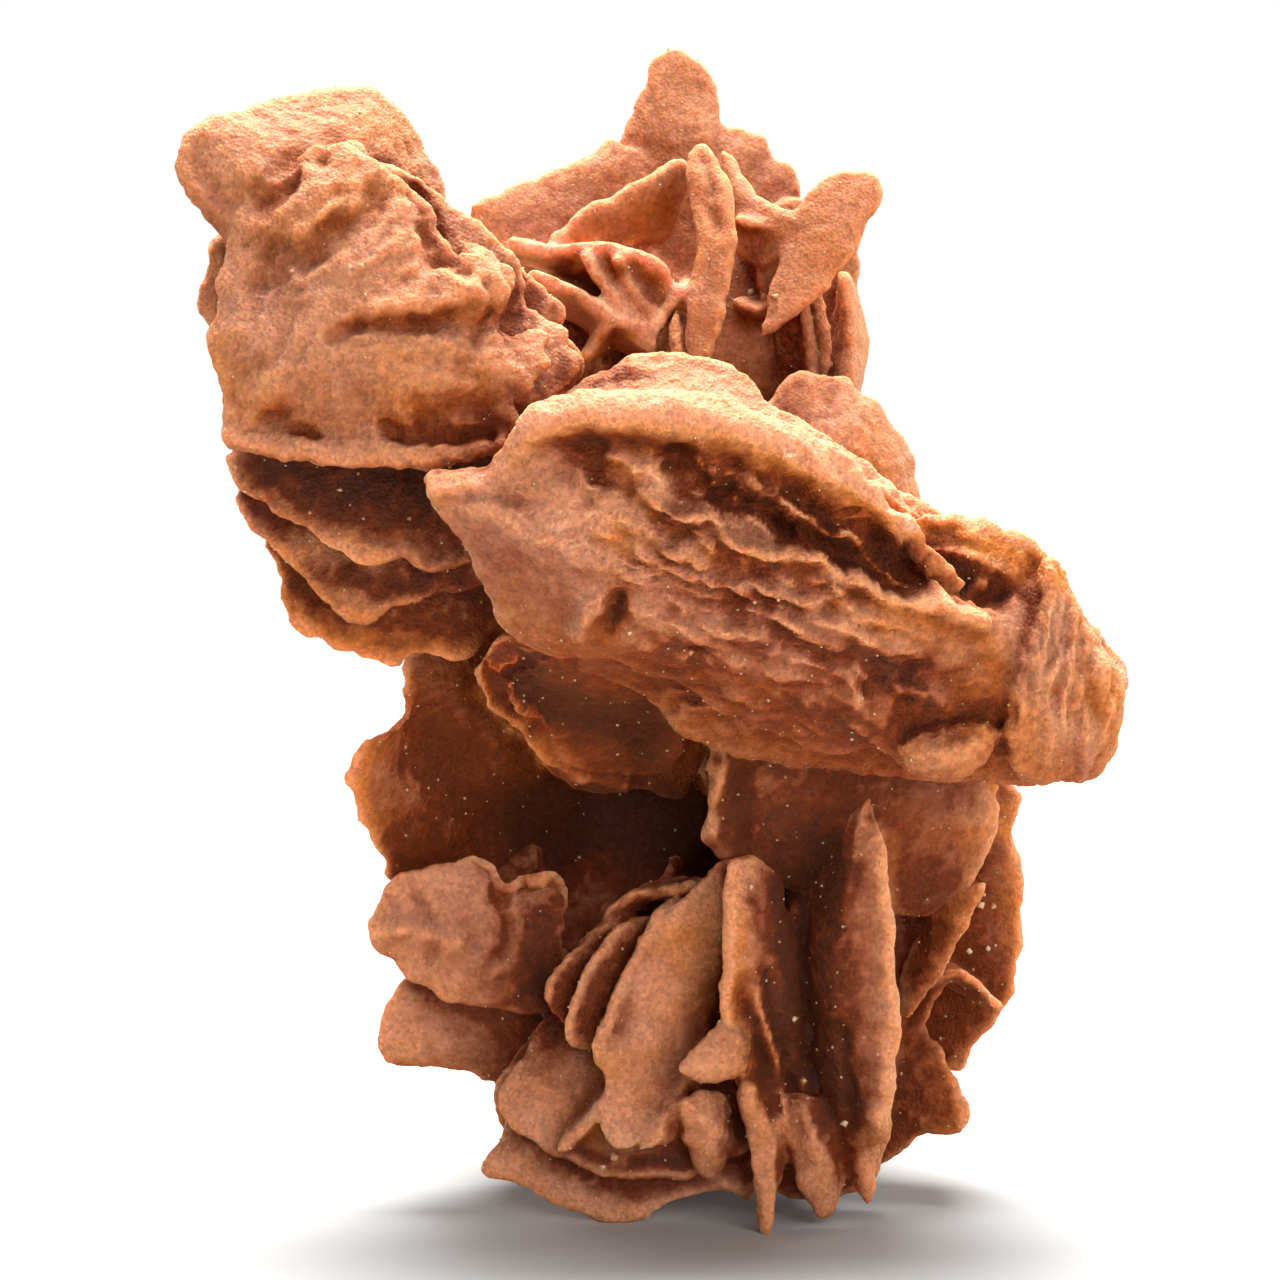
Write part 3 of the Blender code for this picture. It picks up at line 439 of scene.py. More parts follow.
def tower():
    """Thick layers that stand one behind the other at the upper left, with a cap behind them."""
    front = [
        (-25.3, 58), (-25.6, 55.4), (-26, 53.9), (-25.4, 51.7), (-24.9, 50.5), (-25.1, 49.3), (-24.8, 47),
        (-23.4, 47.2), (-20, 46.5), (-16, 46.4), (-12, 46.2), (-10, 46.7), (-8.2, 47.2), (-7, 48.8),
        (-7.6, 50.2), (-7.2, 51.6), (-8, 53.6), (-8.8, 54.3), (-8.1, 55.6), (-8.2, 57.8), (-9.3, 58.9),
        (-11, 59), (-11.8, 60.4), (-12.3, 61.5), (-13.5, 62.8), (-14.6, 63.8), (-17, 65.3), (-18.6, 65.8),
        (-20, 65.3), (-22.4, 63.2), (-24.4, 61.5),
    ]
    second = [
        (-21, 64.6), (-17, 65.6), (-15.9, 64.7), (-14.4, 64.1), (-12.1, 62.9), (-10.2, 61.2), (-9.1, 60.5),
        (-8.4, 59.4), (-7.1, 58.7), (-6.7, 57), (-6.4, 54.7), (-5.3, 54.2), (-5.9, 52.3), (-6.8, 51.4),
        (-6.9, 50), (-9, 48), (-18, 48), (-23, 55),
    ]
    third = [
        (-12, 62), (-9, 59.5), (-6.2, 57.2), (-5.1, 56.5), (-4.3, 55.3), (-4.7, 54.3), (-3.7, 53.7),
        (-3, 51.9), (-4.3, 50.6), (-6, 49.4), (-8, 47.5), (-14, 47), (-18, 53),
    ]
    cap = [
        (-27.9, 64.6), (-27.4, 66), (-26.8, 66.9), (-25.8, 67.3), (-24, 67.6), (-22, 68.3), (-20, 68.7),
        (-18.5, 69), (-16.1, 68.9), (-15.2, 68.2), (-14.1, 67.2), (-13.4, 66), (-12.8, 64.9), (-12, 63.8),
        (-11.8, 62.4), (-12, 58), (-17, 56), (-22, 57), (-25.1, 59.8), (-25.6, 60.7), (-26.6, 61.7),
        (-27.4, 62.7),
    ]
    bulge = [
        (-25.7, 59.8), (-25.9, 57.6), (-26.3, 56.6), (-26.4, 55.4), (-25.9, 54), (-25, 50), (-24, 46),
        (-18, 45), (-12, 50), (-12, 58), (-18, 62),
    ]
    flake = [
        (-10.6, 59.6), (-9.0, 59.2), (-8.0, 58.3), (-7.4, 57.1), (-8.3, 56.5), (-9.6, 57.2), (-10.8, 58.2),
    ]
    low_flake = [
        (-9.0, 54.4), (-7.6, 54.1), (-6.4, 54.6), (-5.1, 54.0), (-5.7, 53.1), (-5.2, 52.2), (-6.3, 51.5),
        (-6.4, 50.6), (-7.6, 50.0), (-9.2, 50.4),
    ]
    far_flake = [
        (-6.8, 55.4), (-5.2, 54.9), (-4.2, 54.4), (-4.4, 53.4), (-3.3, 52.8), (-3.5, 51.6), (-4.4, 50.9),
        (-5.6, 49.8), (-8.0, 50.6),
    ]
    lip = [
        (-25.0, 48.4), (-24.6, 47.2), (-22.0, 46.8), (-19, 46.3), (-16, 46.0), (-12, 46.0), (-9.6, 46.6),
        (-8, 47.4), (-9, 49), (-16, 49.6), (-22, 49.6),
    ]
    return [
        flat(flake, depth=-12.6, turn=26, lean=20, thick=1.0),
        flat(low_flake, depth=-13.6, turn=10, lean=24, thick=0.9, lobe=0.12),
        flat(far_flake, depth=-11.6, turn=12, lean=24, thick=0.9, lobe=0.12),
        flat(lip, depth=-15.2, turn=-4, lean=34, thick=1.6),
        flat(front, depth=-13.5, turn=-4, lean=8, thick=5.2, rim=0.7, lobe=0.22),
        flat(second, depth=-10.5, turn=4, lean=4, thick=4.0, rim=0.6, lobe=0.25),
        flat(third, depth=-7.5, turn=6, lean=-4, thick=3.6, lobe=0.25),
        flat(cap, depth=-8.0, turn=30, lean=14, thick=6.0, rim=1.0, lobe=0.15),
        flat(bulge, depth=-5.0, turn=-10, lean=-6, thick=4.5, rim=0.9),
        disc((-17.0, -1.0, 55.0), turn=-62, lean=12, wide=15, tall=17, thick=3.2, spin=20),
        disc((-14.0, 0.5, 50.0), turn=55, lean=-8, wide=17, tall=14, thick=3.0, spin=-15),
    ]


def lamellae():
    """Shingled plates below the tower, each a little lower and further back than the last."""
    first = [
        (-24.8, 47), (-24.7, 45.4), (-24, 44.6), (-22.5, 43.5), (-21, 42.8), (-20, 42.3), (-19.5, 41.6),
        (-18.5, 41), (-17.5, 40.6), (-15, 40.3), (-14.4, 40.6), (-13, 40.1), (-11, 39.9), (-9.4, 41),
        (-8, 46), (-12, 50), (-20, 50),
    ]
    second = [
        (-23.9, 44.8), (-22.5, 41.4), (-21.3, 40.2), (-19.5, 38.5), (-18.5, 37.5), (-18, 36.8), (-17, 36.7),
        (-15, 37.3), (-13, 38), (-11.5, 38.6), (-8, 39.5), (-7, 44), (-12, 48), (-20, 48),
    ]
    third = [
        (-22.6, 42), (-21.5, 39.5), (-21.3, 38.2), (-20.8, 36.7), (-19, 35.4), (-16.5, 34.4), (-15, 34.1),
        (-14.2, 34.3), (-13.4, 34.9), (-12.5, 34.8), (-10.8, 34.4), (-10, 34.8), (-8.6, 36.4), (-5, 38),
        (-4, 44), (-10, 47), (-19, 46),
    ]
    return [
        flat(first, depth=-8.8, turn=-8, lean=16, thick=2.0),
        flat(second, depth=-6.6, turn=-6, lean=18, thick=2.0),
        flat(third, depth=-4.6, turn=-2, lean=14, thick=2.6),
        disc((-10.0, 2.0, 42.5), turn=12, lean=-20, wide=22, tall=15, thick=4.0, spin=10),
    ]


def slab():
    """The thick shelf across the middle, which overhangs to the front, and the block at its end."""
    shelf = [
        (-13, 45.2), (-12.4, 45.6), (-11, 45.8), (-9.5, 45.8), (-8.8, 46.5), (-8.2, 47.2), (-7.5, 48),
        (-6.9, 49.4), (-5, 50.2), (-2.5, 50.6), (0.5, 50.7), (3.5, 50.6), (5.4, 50), (7.4, 49.2),
        (10, 48), (12.6, 46.4), (15, 44), (17.5, 41.4), (20.5, 38.3), (21.2, 36.4), (20.9, 34.4),
        (20.4, 33), (21.3, 31.8), (21.1, 30.2), (20.3, 28.5), (18.5, 27.6), (17, 27.6), (15.5, 29.3),
        (13.6, 29.4), (12, 29.1), (10, 29.5), (8, 30.4), (6.3, 31.2), (4, 32.2), (2, 33.4), (0, 33.8),
        (-2, 34.8), (-5, 35), (-8, 36.2), (-9, 38), (-9.6, 40), (-10.6, 41.5), (-11.6, 42.5), (-12.3, 43.7),
    ]
    crest = [
        (-7, 48), (-5.4, 49.8), (-4.2, 51), (-3, 51.7), (-2, 52.1), (-1, 52.8), (0, 53.1), (2, 53.1),
        (4.3, 52.8), (6, 52), (6.8, 51.3), (7.4, 50.4), (8.2, 49.5), (9.5, 49), (11, 48), (12.5, 47),
        (14, 46.1), (15, 45.2), (16, 44), (16.5, 42.8), (16, 39), (10, 36), (0, 37), (-6, 41),
    ]
    block = [
        (14.8, 42.2), (16, 43), (18.5, 43.2), (19.5, 43.4), (21.5, 42.8), (23, 42.2), (24.2, 41.4),
        (24.9, 40.4), (25.4, 38.6), (25.8, 34), (25, 30), (24, 27.3), (20, 27.5), (15.5, 30), (13, 36),
    ]
    facet = [
        (24.6, 40.8), (25.2, 39.9), (25.8, 38.8), (26.5, 37.6), (27.3, 36.3), (28.2, 35.4), (28.8, 34.5),
        (28.9, 33.5), (28.3, 31.9), (28.7, 31.1), (28.2, 30), (28.3, 29.3), (27.8, 28.4), (27.1, 27.6),
        (26.3, 27.2), (25, 27), (22.5, 27.6), (22, 31), (23, 36),
    ]
    band = [
        (-8, 36), (-6, 34.8), (-4, 34), (-2, 33.5), (-0.5, 32.8), (1, 31.5), (1.8, 30.3), (4.5, 29),
        (9, 28.2), (12, 28), (16, 27.6), (20.5, 27.4), (21, 32), (15, 40), (4, 44), (-8, 42),
    ]
    lower_end = [
        (15.4, 29.6), (16.6, 30.8), (18.2, 31.0), (19.8, 31.5), (21.0, 31.3), (21.4, 30.0), (20.5, 28.4),
        (18.5, 27.4), (17, 27.4), (15.8, 28.2),
    ]
    return [
        flat(shelf, depth=-15.0, turn=0, lean=-27, thick=8.5, rim=1.4, lobe=0.25),
        flat(crest, depth=-11.5, turn=2, lean=12, thick=8.0, rim=0.9, lobe=0.2),
        flat(block, depth=-10.5, turn=8, lean=-8, thick=7.5, rim=1.0, lobe=0.2),
        flat(facet, depth=-9.5, turn=44, lean=-6, thick=6.5, rim=0.7, lobe=0.2),
        flat(band, depth=-7.5, turn=0, lean=-14, thick=6.0, rim=0.8, lobe=0.2),
        flat(lower_end, depth=-12.9, turn=10, lean=-6, thick=4.6, rim=1.5, lobe=0.15),
        disc((8.0, -2.5, 39.5), turn=6, lean=-16, wide=32, tall=17, thick=9.0, spin=-20, points=14),
        disc((20.0, -4.0, 35.0), turn=-28, lean=-12, wide=16, tall=13, thick=5.0, spin=-12),
        disc((2.0, -4.0, 44.5), turn=-30, lean=22, wide=18, tall=14, thick=4.0, spin=12),
    ]


def core():
    """The blades that hold the rosettes together behind the slab."""
    return [
        disc((4.0, 5.0, 39.0), turn=4, lean=14, wide=24, tall=20, thick=7.0, spin=-6, points=14),
        disc((9.5, 10.5, 27.0), turn=-10, lean=-6, wide=21, tall=30, thick=6.0, spin=8, points=14),
        disc((4.0, 12.0, 37.0), turn=78, lean=4, wide=15, tall=34, thick=5.0, spin=6, points=14),
    ]


def upper_rosette():
    """Thin blades that radiate at the top, behind the slab and the tower."""
    tip = [
        (-1, 66.2), (-0.3, 67.3), (0, 68.5), (0.3, 69.8), (0.8, 70.7), (1.5, 71.2), (2.2, 71.2), (3, 70.7),
        (4, 69.9), (4.5, 69), (4.8, 68), (5.2, 66.8), (7, 66.2), (8.5, 64.6), (9.5, 63.9), (10, 58), (6, 52),
        (-1, 53), (-4, 58), (-3, 63.6),
    ]
    left = [
        (-10.3, 61.9), (-9, 62.5), (-8, 63), (-6, 63.8), (-4, 64.6), (-3, 65), (-1.6, 65.9), (1, 64),
        (1, 58), (-3, 53), (-7, 55), (-9.4, 59),
    ]
    right = [
        (7.1, 53.8), (7.6, 56.0), (8.4, 58.2), (9.1, 60.4), (9.8, 62.2), (11.1, 63.5), (12.8, 64.2),
        (14.2, 63.7), (14.6, 62.3), (13.7, 60.4), (12.5, 58.4), (11.1, 56.6), (9.3, 55.0),
    ]
    wing_edge = [
        (2.4, 64.7), (0.2, 63.6), (-1.8, 62.4), (-3.8, 61.1), (-5.6, 59.3), (-3.6, 59.0), (-1.0, 59.2),
        (1.6, 60.0), (2.8, 62.4),
    ]
    bow = [
        (4.9, 65.4), (5.8, 64.4), (7.0, 62.8), (8.5, 61.7), (9.6, 61.0), (9.0, 59.0), (6.6, 58.2),
        (5.2, 60.4),
    ]
    fin = [(7.1, 60.2), (8.0, 59.4), (8.7, 57.6), (8.9, 55.8), (7.7, 55.6), (6.9, 57.8)]
    backing = [
        (7, 61), (10.5, 62.5), (13.2, 60.4), (13.1, 59.2), (13.4, 58), (13, 55.5), (13.2, 54), (12.9, 52.7),
        (12.4, 51.6), (10, 48), (4, 47), (3, 54),
    ]
    flank = [
        (9, 51.5), (12.4, 51.6), (13, 50.8), (14, 50.2), (15, 49), (15.7, 48), (16.3, 47), (16.6, 45.8),
        (16.7, 43.5), (15, 40), (9, 39), (6, 46),
    ]
    top_strand = [
        (-8.1, 59.8), (-6.2, 59.3), (-2.9, 59.6), (-1.0, 59.3), (0.5, 58.8), (1.8, 57.8), (2.4, 56.6),
    ]
    low_strand = [(-6.8, 57.9), (-4.2, 56.9), (-2.9, 56.2), (-1.6, 55.1), (-0.2, 54.4), (1.0, 53.4)]
    left_strand = [(-3.4, 59.0), (-2.9, 57.8), (-1.8, 56.5), (-0.8, 55.4), (0.5, 54.1)]
    inner_strand = [(-1.6, 58.9), (-1.0, 57.5), (-0.2, 56.2), (0.9, 55.0)]
    rising_strand = [(0.6, 54.1), (1.6, 55.7), (3.0, 57.0)]
    foot_strand = [(-3.5, 52.4), (-2.6, 53.8), (-1.9, 55.0)]
    leaf = [
        (3.0, 65.4), (4.2, 65.4), (5.3, 63.4), (5.7, 60.5), (5.5, 57.5), (4.8, 54.5), (4.1, 52.4),
        (2.9, 52.4), (2.9, 55.0), (3.3, 58.0), (3.2, 61.0), (2.8, 63.6),
    ]
    ledge = [(5.6, 61.0), (7.6, 60.6), (9.9, 60.9)]
    low_ledge = [(5.6, 56.0), (7.4, 55.6), (8.8, 56.3)]
    rib = [(9.9, 56.2), (10.2, 52.0), (10.0, 47.0)]
    rib_right = [(12.2, 57.8), (12.6, 53.6), (12.2, 49.4)]
    return [
        flat(tip, depth=18.8, turn=2, lean=4, thick=3.0),
        flat(left, depth=15.5, turn=16, lean=10, thick=2.2),
        flat(right, depth=10.5, turn=-12, lean=16, thick=1.2),
        flat(backing, depth=17.5, turn=10, lean=2, thick=4.0, rim=0.7),
        flat(flank, depth=9.0, turn=24, lean=8, thick=3.6),
        on_edge(top_strand, near=(9.0, 9.5), reach=7, swing=0, thick=1.5, rise=-16, ends=0.8),
        on_edge(low_strand, near=(8.0, 9.5), reach=7, swing=4, thick=1.5, rise=-16, ends=0.8),
        on_edge(left_strand, near=(9.0, 9.2), reach=7, swing=14, thick=1.3, ends=0.8),
        on_edge(inner_strand, near=(9.0, 9.2), reach=7, swing=14, thick=1.3, ends=0.8),
        on_edge(rising_strand, near=(9.0, 9.5), reach=7, swing=4, thick=1.3, rise=4, ends=0.8),
        on_edge(foot_strand, near=(9.0, 9.0), reach=8, swing=6, thick=1.4),
        flat(leaf, depth=9.4, turn=-34, lean=12, thick=2.0),
        flat(wing_edge, depth=13.6, turn=30, lean=-18, thick=1.5),
        flat(bow, depth=12.6, turn=-34, lean=6, thick=1.5),
        on_edge(ledge, near=(11.0, 11.0), reach=7, swing=0, thick=1.3, rise=-4),
        on_edge(low_ledge, near=(10.5, 10.5), reach=8, swing=0, thick=1.6, rise=-6),
        flat(fin, depth=12.8, turn=28, lean=4, thick=1.4),
        on_edge(rib, near=(12.6, 12.0), reach=8, swing=10, thick=2.2),
        on_edge(rib_right, near=(13.0, 12.0), reach=8, swing=8, thick=2.2),
    ]


RIGHT_STROKES = [
    ([(5.2, 29.4), (4.6, 26.4), (4.2, 24.4), (4.9, 23.3)], 0.45, 0.5),
    ([(6.4, 28.4), (5.8, 25.4), (6.2, 24.0)], 0.7, -0.6),
    ([(6.0, 14.6), (7.0, 11.8), (7.6, 9.6), (8.0, 7.6)], 0.35, -0.45),
    ([(6.8, 14.8), (7.8, 12.0), (8.4, 9.0), (8.8, 6.0)], 0.3, 0.35),
    ([(7.6, 15.6), (8.6, 12.4), (9.2, 9.0), (9.4, 6.0)], 0.35, -0.4),
    ([(5.3, 20.6), (5.4, 17.0), (5.2, 13.6), (5.4, 10.4), (6.6, 8.7)], 0.35, 0.3),
    ([(14.2, 24.6), (14.7, 20.0), (14.9, 14.4), (14.8, 9.6), (14.2, 6.4)], 0.45, 0.4),
    ([(12.0, 12.6), (12.4, 9.0), (12.8, 6.6)], 0.4, -0.3),
]
# Painted shade, and painted light where negative: path, width, amount.
RIGHT_PAINTED_SHADE = [
    ([(8.6, 21.0), (9.1, 15.0), (9.6, 10.0)], 1.2, 0.7),
    ([(12.2, 21.6), (12.5, 14.0), (12.7, 8.6)], 1.8, 1.0),
    ([(6.8, 20.0), (7.2, 15.0), (7.8, 10.0)], 0.8, 0.5),
    ([(5.6, 26.5), (9.0, 24.0), (13.0, 22.6)], 1.6, 0.4),
    ([(17.6, 18.4), (16.6, 15.6)], 0.9, 0.3),
    ([(5.3, 20.6), (5.3, 16.0), (5.4, 11.0)], 0.6, -0.5),
    ([(14.7, 24.0), (15.2, 19.0), (15.4, 13.0), (14.8, 7.6)], 0.5, -0.5),
    ([(7.0, 5.0), (7.5, 0.5)], 0.8, -0.4),
    ([(18.9, 10.2), (19.6, 7.0)], 0.5, -0.4),
    ([(21.0, 27.0), (22.4, 22.0), (22.6, 17.0)], 0.9, -0.4),
]
UPPER_STROKES = [
    ([(3.7, 64.9), (4.4, 61.5), (4.3, 57.5), (3.7, 53.4)], 0.4, -0.3),
]
# Painted shade, and painted light where negative: path, width, amount.
UPPER_PAINTED_SHADE = [
    ([(-8.0, 59.6), (-4.0, 59.4), (0.0, 59.0), (2.2, 57.2)], 0.6, -1.3),
    ([(-6.8, 57.9), (-3.0, 56.2), (1.0, 53.6)], 0.6, -1.3),
    ([(-3.2, 58.6), (0.5, 54.3), (3.0, 57.0)], 0.6, -1.3),
    ([(8.8, 54.0), (9.0, 48.5)], 1.3, 0.6),
    ([(11.2, 55.0), (11.3, 49.5)], 0.5, 0.4),
    ([(6.6, 59.0), (6.8, 57.0)], 0.9, 0.35),
    ([(-4.4, 58.2), (-1.6, 57.4)], 0.6, 0.4),
    ([(0.4, 56.4), (2.0, 54.8)], 0.6, 0.4),
]
# Painted shade, and painted light where negative: path, width, amount.
LEFT_PAINTED_SHADE = [
    ([(-12.4, 30.4), (-11.4, 26.8), (-8.6, 24.6)], 2.2, 0.15),
    ([(-14.0, 19.0), (-8.0, 18.0)], 3.0, 0.34),
    ([(-7.4, 32.6), (-3.6, 30.9), (0.0, 30.2)], 1.9, 0.8),
    ([(-9.4, 32.6), (-7.4, 30.4), (-4.6, 27.7), (-1.0, 27.0)], 0.5, -0.5),
    ([(-16.8, 28.6), (-17.0, 26.4), (-15.6, 22.8)], 0.8, -0.4),
    ([(-1.0, 6.6), (0.6, 11.0), (2.0, 15.0), (3.8, 19.6)], 1.9, -1.0),
    ([(4.2, 6.0), (4.0, 8.0)], 1.0, -0.6),
    ([(-6.0, 7.4), (-4.0, 10.0)], 1.6, -0.6),
    ([(-9.0, 4.6), (-5.0, 2.2), (0.0, 1.4), (5.0, 2.8)], 0.8, -0.5),
    ([(-4.6, 5.2), (-1.0, 4.4), (2.4, 4.6)], 0.5, 0.6),
    ([(-15.0, 12.0), (-10.0, 10.6)], 1.5, -0.3),
    ([(-6.0, 15.2), (-5.6, 12.4)], 0.9, 0.5),
    # The deepest painted shade, at the back of the hollow under the slab.
    ([(-5.0, 25.2), (-1.0, 24.8), (3.2, 24.4)], 2.3, 1.3),
]
# Painted orange glow, and paler where negative: path, width, amount.
LEFT_PAINTED_GLOW = [
    ([(-14.2, 32.6), (-16.9, 29.4), (-17.6, 27.0), (-15.4, 22.6)], 0.9, 0.5),
    ([(-9.4, 32.6), (-7.4, 30.4), (-4.6, 27.7), (-1.0, 27.0)], 0.8, 0.6),
    ([(-6.8, 29.8), (-2.0, 29.4), (2.0, 28.6)], 1.4, 0.4),
    ([(-14.0, 12.4), (-10.0, 11.4)], 2.4, -0.5),
    ([(-7.0, 4.0), (0.0, 2.0), (5.0, 3.4)], 1.8, -0.4),
]
# Painted orange glow, and paler where negative: path, width, amount.
RIGHT_PAINTED_GLOW = [
    ([(17.4, 17.6), (19.4, 20.0)], 1.2, 0.5),
    ([(18.0, 15.4), (20.0, 12.6)], 1.5, 0.5),
    ([(16.6, 11.6), (18.6, 7.6)], 1.4, 0.4),
    ([(5.3, 20.0), (5.6, 13.0), (7.4, 8.0)], 0.7, 0.4),
    ([(21.4, 28.0), (22.9, 22.0), (22.0, 14.0)], 0.8, 0.4),
]
LEFT_STROKES = [
    (
        [(-9.6, 34.0), (-9.0, 31.9), (-7.8, 30.8), (-6.5, 29.4), (-5.4, 28.4), (-4.0, 27.5), (-1.0, 27.2)],
        0.4,
        0.5,
    ),
    ([(-8.0, 33.6), (-6.0, 31.6), (-3.2, 30.2), (0.0, 29.6)], 1.6, -1.2),
    ([(-11.8, 28.5), (-9.0, 25.5), (-6.0, 23.0)], 3.2, -1.4),
    ([(-15.6, 18.2), (-13.4, 18.4), (-11.0, 17.6)], 0.5, 0.3),
    ([(-13.4, 20.4), (-12.2, 18.6), (-12.6, 16.6)], 0.4, -0.3),
    ([(-8.4, 21.0), (-7.8, 18.6), (-8.6, 16.4)], 0.4, -0.35),
]


def lower_rosette_left():
    """The blades of the lower rosette that radiate to the left, and the lowest of them."""
    left_leaf = [
        (-13.6, 35.6), (-14.2, 33.2), (-14, 31.8), (-14.6, 30.8), (-15.6, 30), (-16.7, 29.2), (-17.3, 28.2),
        (-17.7, 27.2), (-17.2, 26.2), (-16.6, 25), (-16, 23.8), (-15.4, 22.5), (-15, 21.3), (-10, 18.6),
        (-4, 19), (1, 24), (0, 32), (-7, 37),
    ]
    under_slab = [
        (-9.8, 34.4), (-9.8, 33), (-9.3, 31.8), (-8.5, 31), (-7.3, 30.2), (-6.8, 29.3), (-6, 28.2),
        (-5, 27.4), (-4, 26.8), (-3, 26.6), (-1, 26.6), (0, 26.9), (2.6, 26.2), (4, 30), (1, 35), (-6, 37),
    ]
    under_inner = [(-8.4, 33), (-6.2, 30.6), (-4.8, 28.6), (-1.5, 28), (2, 28), (3, 32), (-2, 36)]
    salmon = [
        (-15, 21.4), (-15.6, 20.3), (-16.4, 19), (-16.5, 18), (-16, 17), (-15, 16.4), (-14, 15.3),
        (-9, 13.4), (-5, 13.8), (-4.2, 16), (-4.5, 18), (-4.2, 20), (-4.3, 21.2), (-5.2, 21.9), (-7, 21.8),
        (-8, 21.2), (-8.8, 22.4), (-9.6, 22.9), (-10.7, 22.9), (-12, 22.4), (-13, 22), (-14.3, 22),
    ]
    low_left = [
        (-13.6, 15.6), (-15, 14.6), (-15.5, 13.2), (-16, 12), (-15.8, 11), (-15, 10.4), (-13, 10),
        (-11, 9.7), (-8.7, 9.2), (-3, 9), (-2, 14), (-6, 18),
    ]
    bottom = [
        (-8.7, 9.4), (-9, 7.9), (-8.3, 7.2), (-8.5, 6.3), (-9, 5.3), (-9.6, 4.2), (-9.2, 3.5), (-8, 3.2),
        (-7, 2.7), (-5, 1.6), (-3, 0.9), (-1.4, 0.3), (0.5, 0.9), (2.2, 2.2), (3.4, 2.5), (5, 2.5), (6.9, 2),
        (7.4, 7), (3, 12), (-4, 14),
    ]
    bottom_upper = [
        (-8.2, 9.6), (-8.6, 7.6), (-7.6, 6.2), (-6.2, 5.2), (-4.4, 4.3), (-2.2, 3.4), (-0.3, 3.2),
        (1.6, 3.3), (3.5, 3.9), (6.9, 5.4), (7.4, 9), (3, 13), (-4, 14),
    ]
    curved = [
        (4.9, 22.6), (3.5, 21.2), (1.6, 18.7), (0.7, 16.8), (0, 14.9), (-0.9, 12.4), (-1.9, 10.2),
        (-2.3, 7.9), (-2.1, 6.0), (-1.2, 5.2), (0.4, 5.2),
    ]
    left_second = [
        (-2.7, 10.9), (-2.0, 9.8), (-0.6, 10.8), (0.8, 14.0), (2.4, 17.0), (3.4, 19.9), (1.4, 19.8),
        (-0.5, 17.0), (-1.8, 14.0),
    ]
    left_third = [
        (-4.5, 12.6), (-4.0, 11.3), (-2.6, 11.4), (-1.0, 13.6), (0.8, 16.6), (1.4, 19.2), (-0.8, 18.9),
        (-2.6, 17.0), (-3.9, 14.6),
    ]
    left_fourth = [
        (-5.6, 14.9), (-5.2, 13.2), (-3.9, 12.7), (-2.2, 14.0), (-0.8, 16.2), (-0.4, 18.2), (-2.4, 18.1),
        (-4.4, 16.8),
    ]
    leaflet = [(-2.2, 19.1), (-0.9, 20.3), (1, 20.6), (3.5, 21.2)]
    leaflet_low = [(-3.8, 17.4), (-2.5, 18.4), (0, 18.7), (1.6, 17.9)]
    spike = [(-4.9, 5.0), (-3.4, 6.4), (-2, 8.2)]
    petal = [
        (-8.9, 9.4), (-6.4, 11.2), (-3.2, 12.6), (-1.6, 10), (-2.0, 7.6), (-4.2, 7.4), (-6.4, 5.6),
        (-8.4, 6.6),
    ]
    arrow = [
        (2.1, 10.0), (2.7, 11.0), (3.9, 12.1), (5.4, 13.7), (6.6, 12.8), (6.4, 9.9), (4.6, 9.0), (3.1, 9.3),
    ]
    foot_lobe = [
        (2.8, 8.4), (4, 9), (5.4, 8.2), (5.8, 6), (5, 4.2), (3.8, 3.8), (2.8, 5), (2.4, 7),
    ]
    # The back of the deep hollow, which is painted dark as shade.
    hollow_back = [
        (-8.0, 21.0), (-6.6, 25.6), (-3.0, 28.6), (2.0, 28.4), (5.4, 25.6), (5.6, 20.6), (2.0, 17.6),
        (-4.6, 17.0),
    ]
    return [
        flat(hollow_back, depth=9.8, turn=-8, lean=12, thick=2.0),
        flat(left_leaf, depth=3.5, turn=38, lean=-16, thick=2.6),
        flat(under_slab, depth=-2.2, turn=14, lean=-44, thick=1.5),
        flat(under_inner, depth=-3.9, turn=14, lean=-44, thick=1.5),
        flat(salmon, depth=0.2, turn=8, lean=10, thick=2.4),
        flat(low_left, depth=3.0, turn=8, lean=-10, thick=2.6),
        flat(bottom, depth=-2.2, turn=0, lean=16, thick=2.8),
        flat(bottom_upper, depth=-3.8, turn=0, lean=26, thick=2.2),
        on_edge(curved, near=(-3.5, -8.0), reach=11, swing=46, thick=2.6, ends=0.4),
        flat(left_second, depth=-4.4, turn=40, lean=-4, thick=1.1, lobe=0.2),
        flat(left_third, depth=-3.4, turn=40, lean=-4, thick=1.1, lobe=0.2),
        flat(left_fourth, depth=-2.2, turn=38, lean=-2, thick=1.1, lobe=0.2),
        on_edge(leaflet, near=(-1.5, -2.5), reach=6, swing=10, thick=1.1, rise=-4),
        on_edge(leaflet_low, near=(-1.8, -2.6), reach=6, swing=10, thick=1.0, rise=-2),
        disc((1.5, 5.5, 12.0), turn=80, lean=-4, wide=16, tall=17, thick=2.8, spin=-6),
        on_edge(spike, near=(-6.6, -6.6), reach=9, swing=20, thick=1.6, rise=10),
        flat(petal, depth=-1.2, turn=-6, lean=-10, thick=1.8),
        flat(arrow, depth=-8.0, turn=24, lean=12, thick=1.8, lobe=0.12),
        flat(foot_lobe, depth=-6.0, turn=34, lean=-6, thick=2.2),
    ]


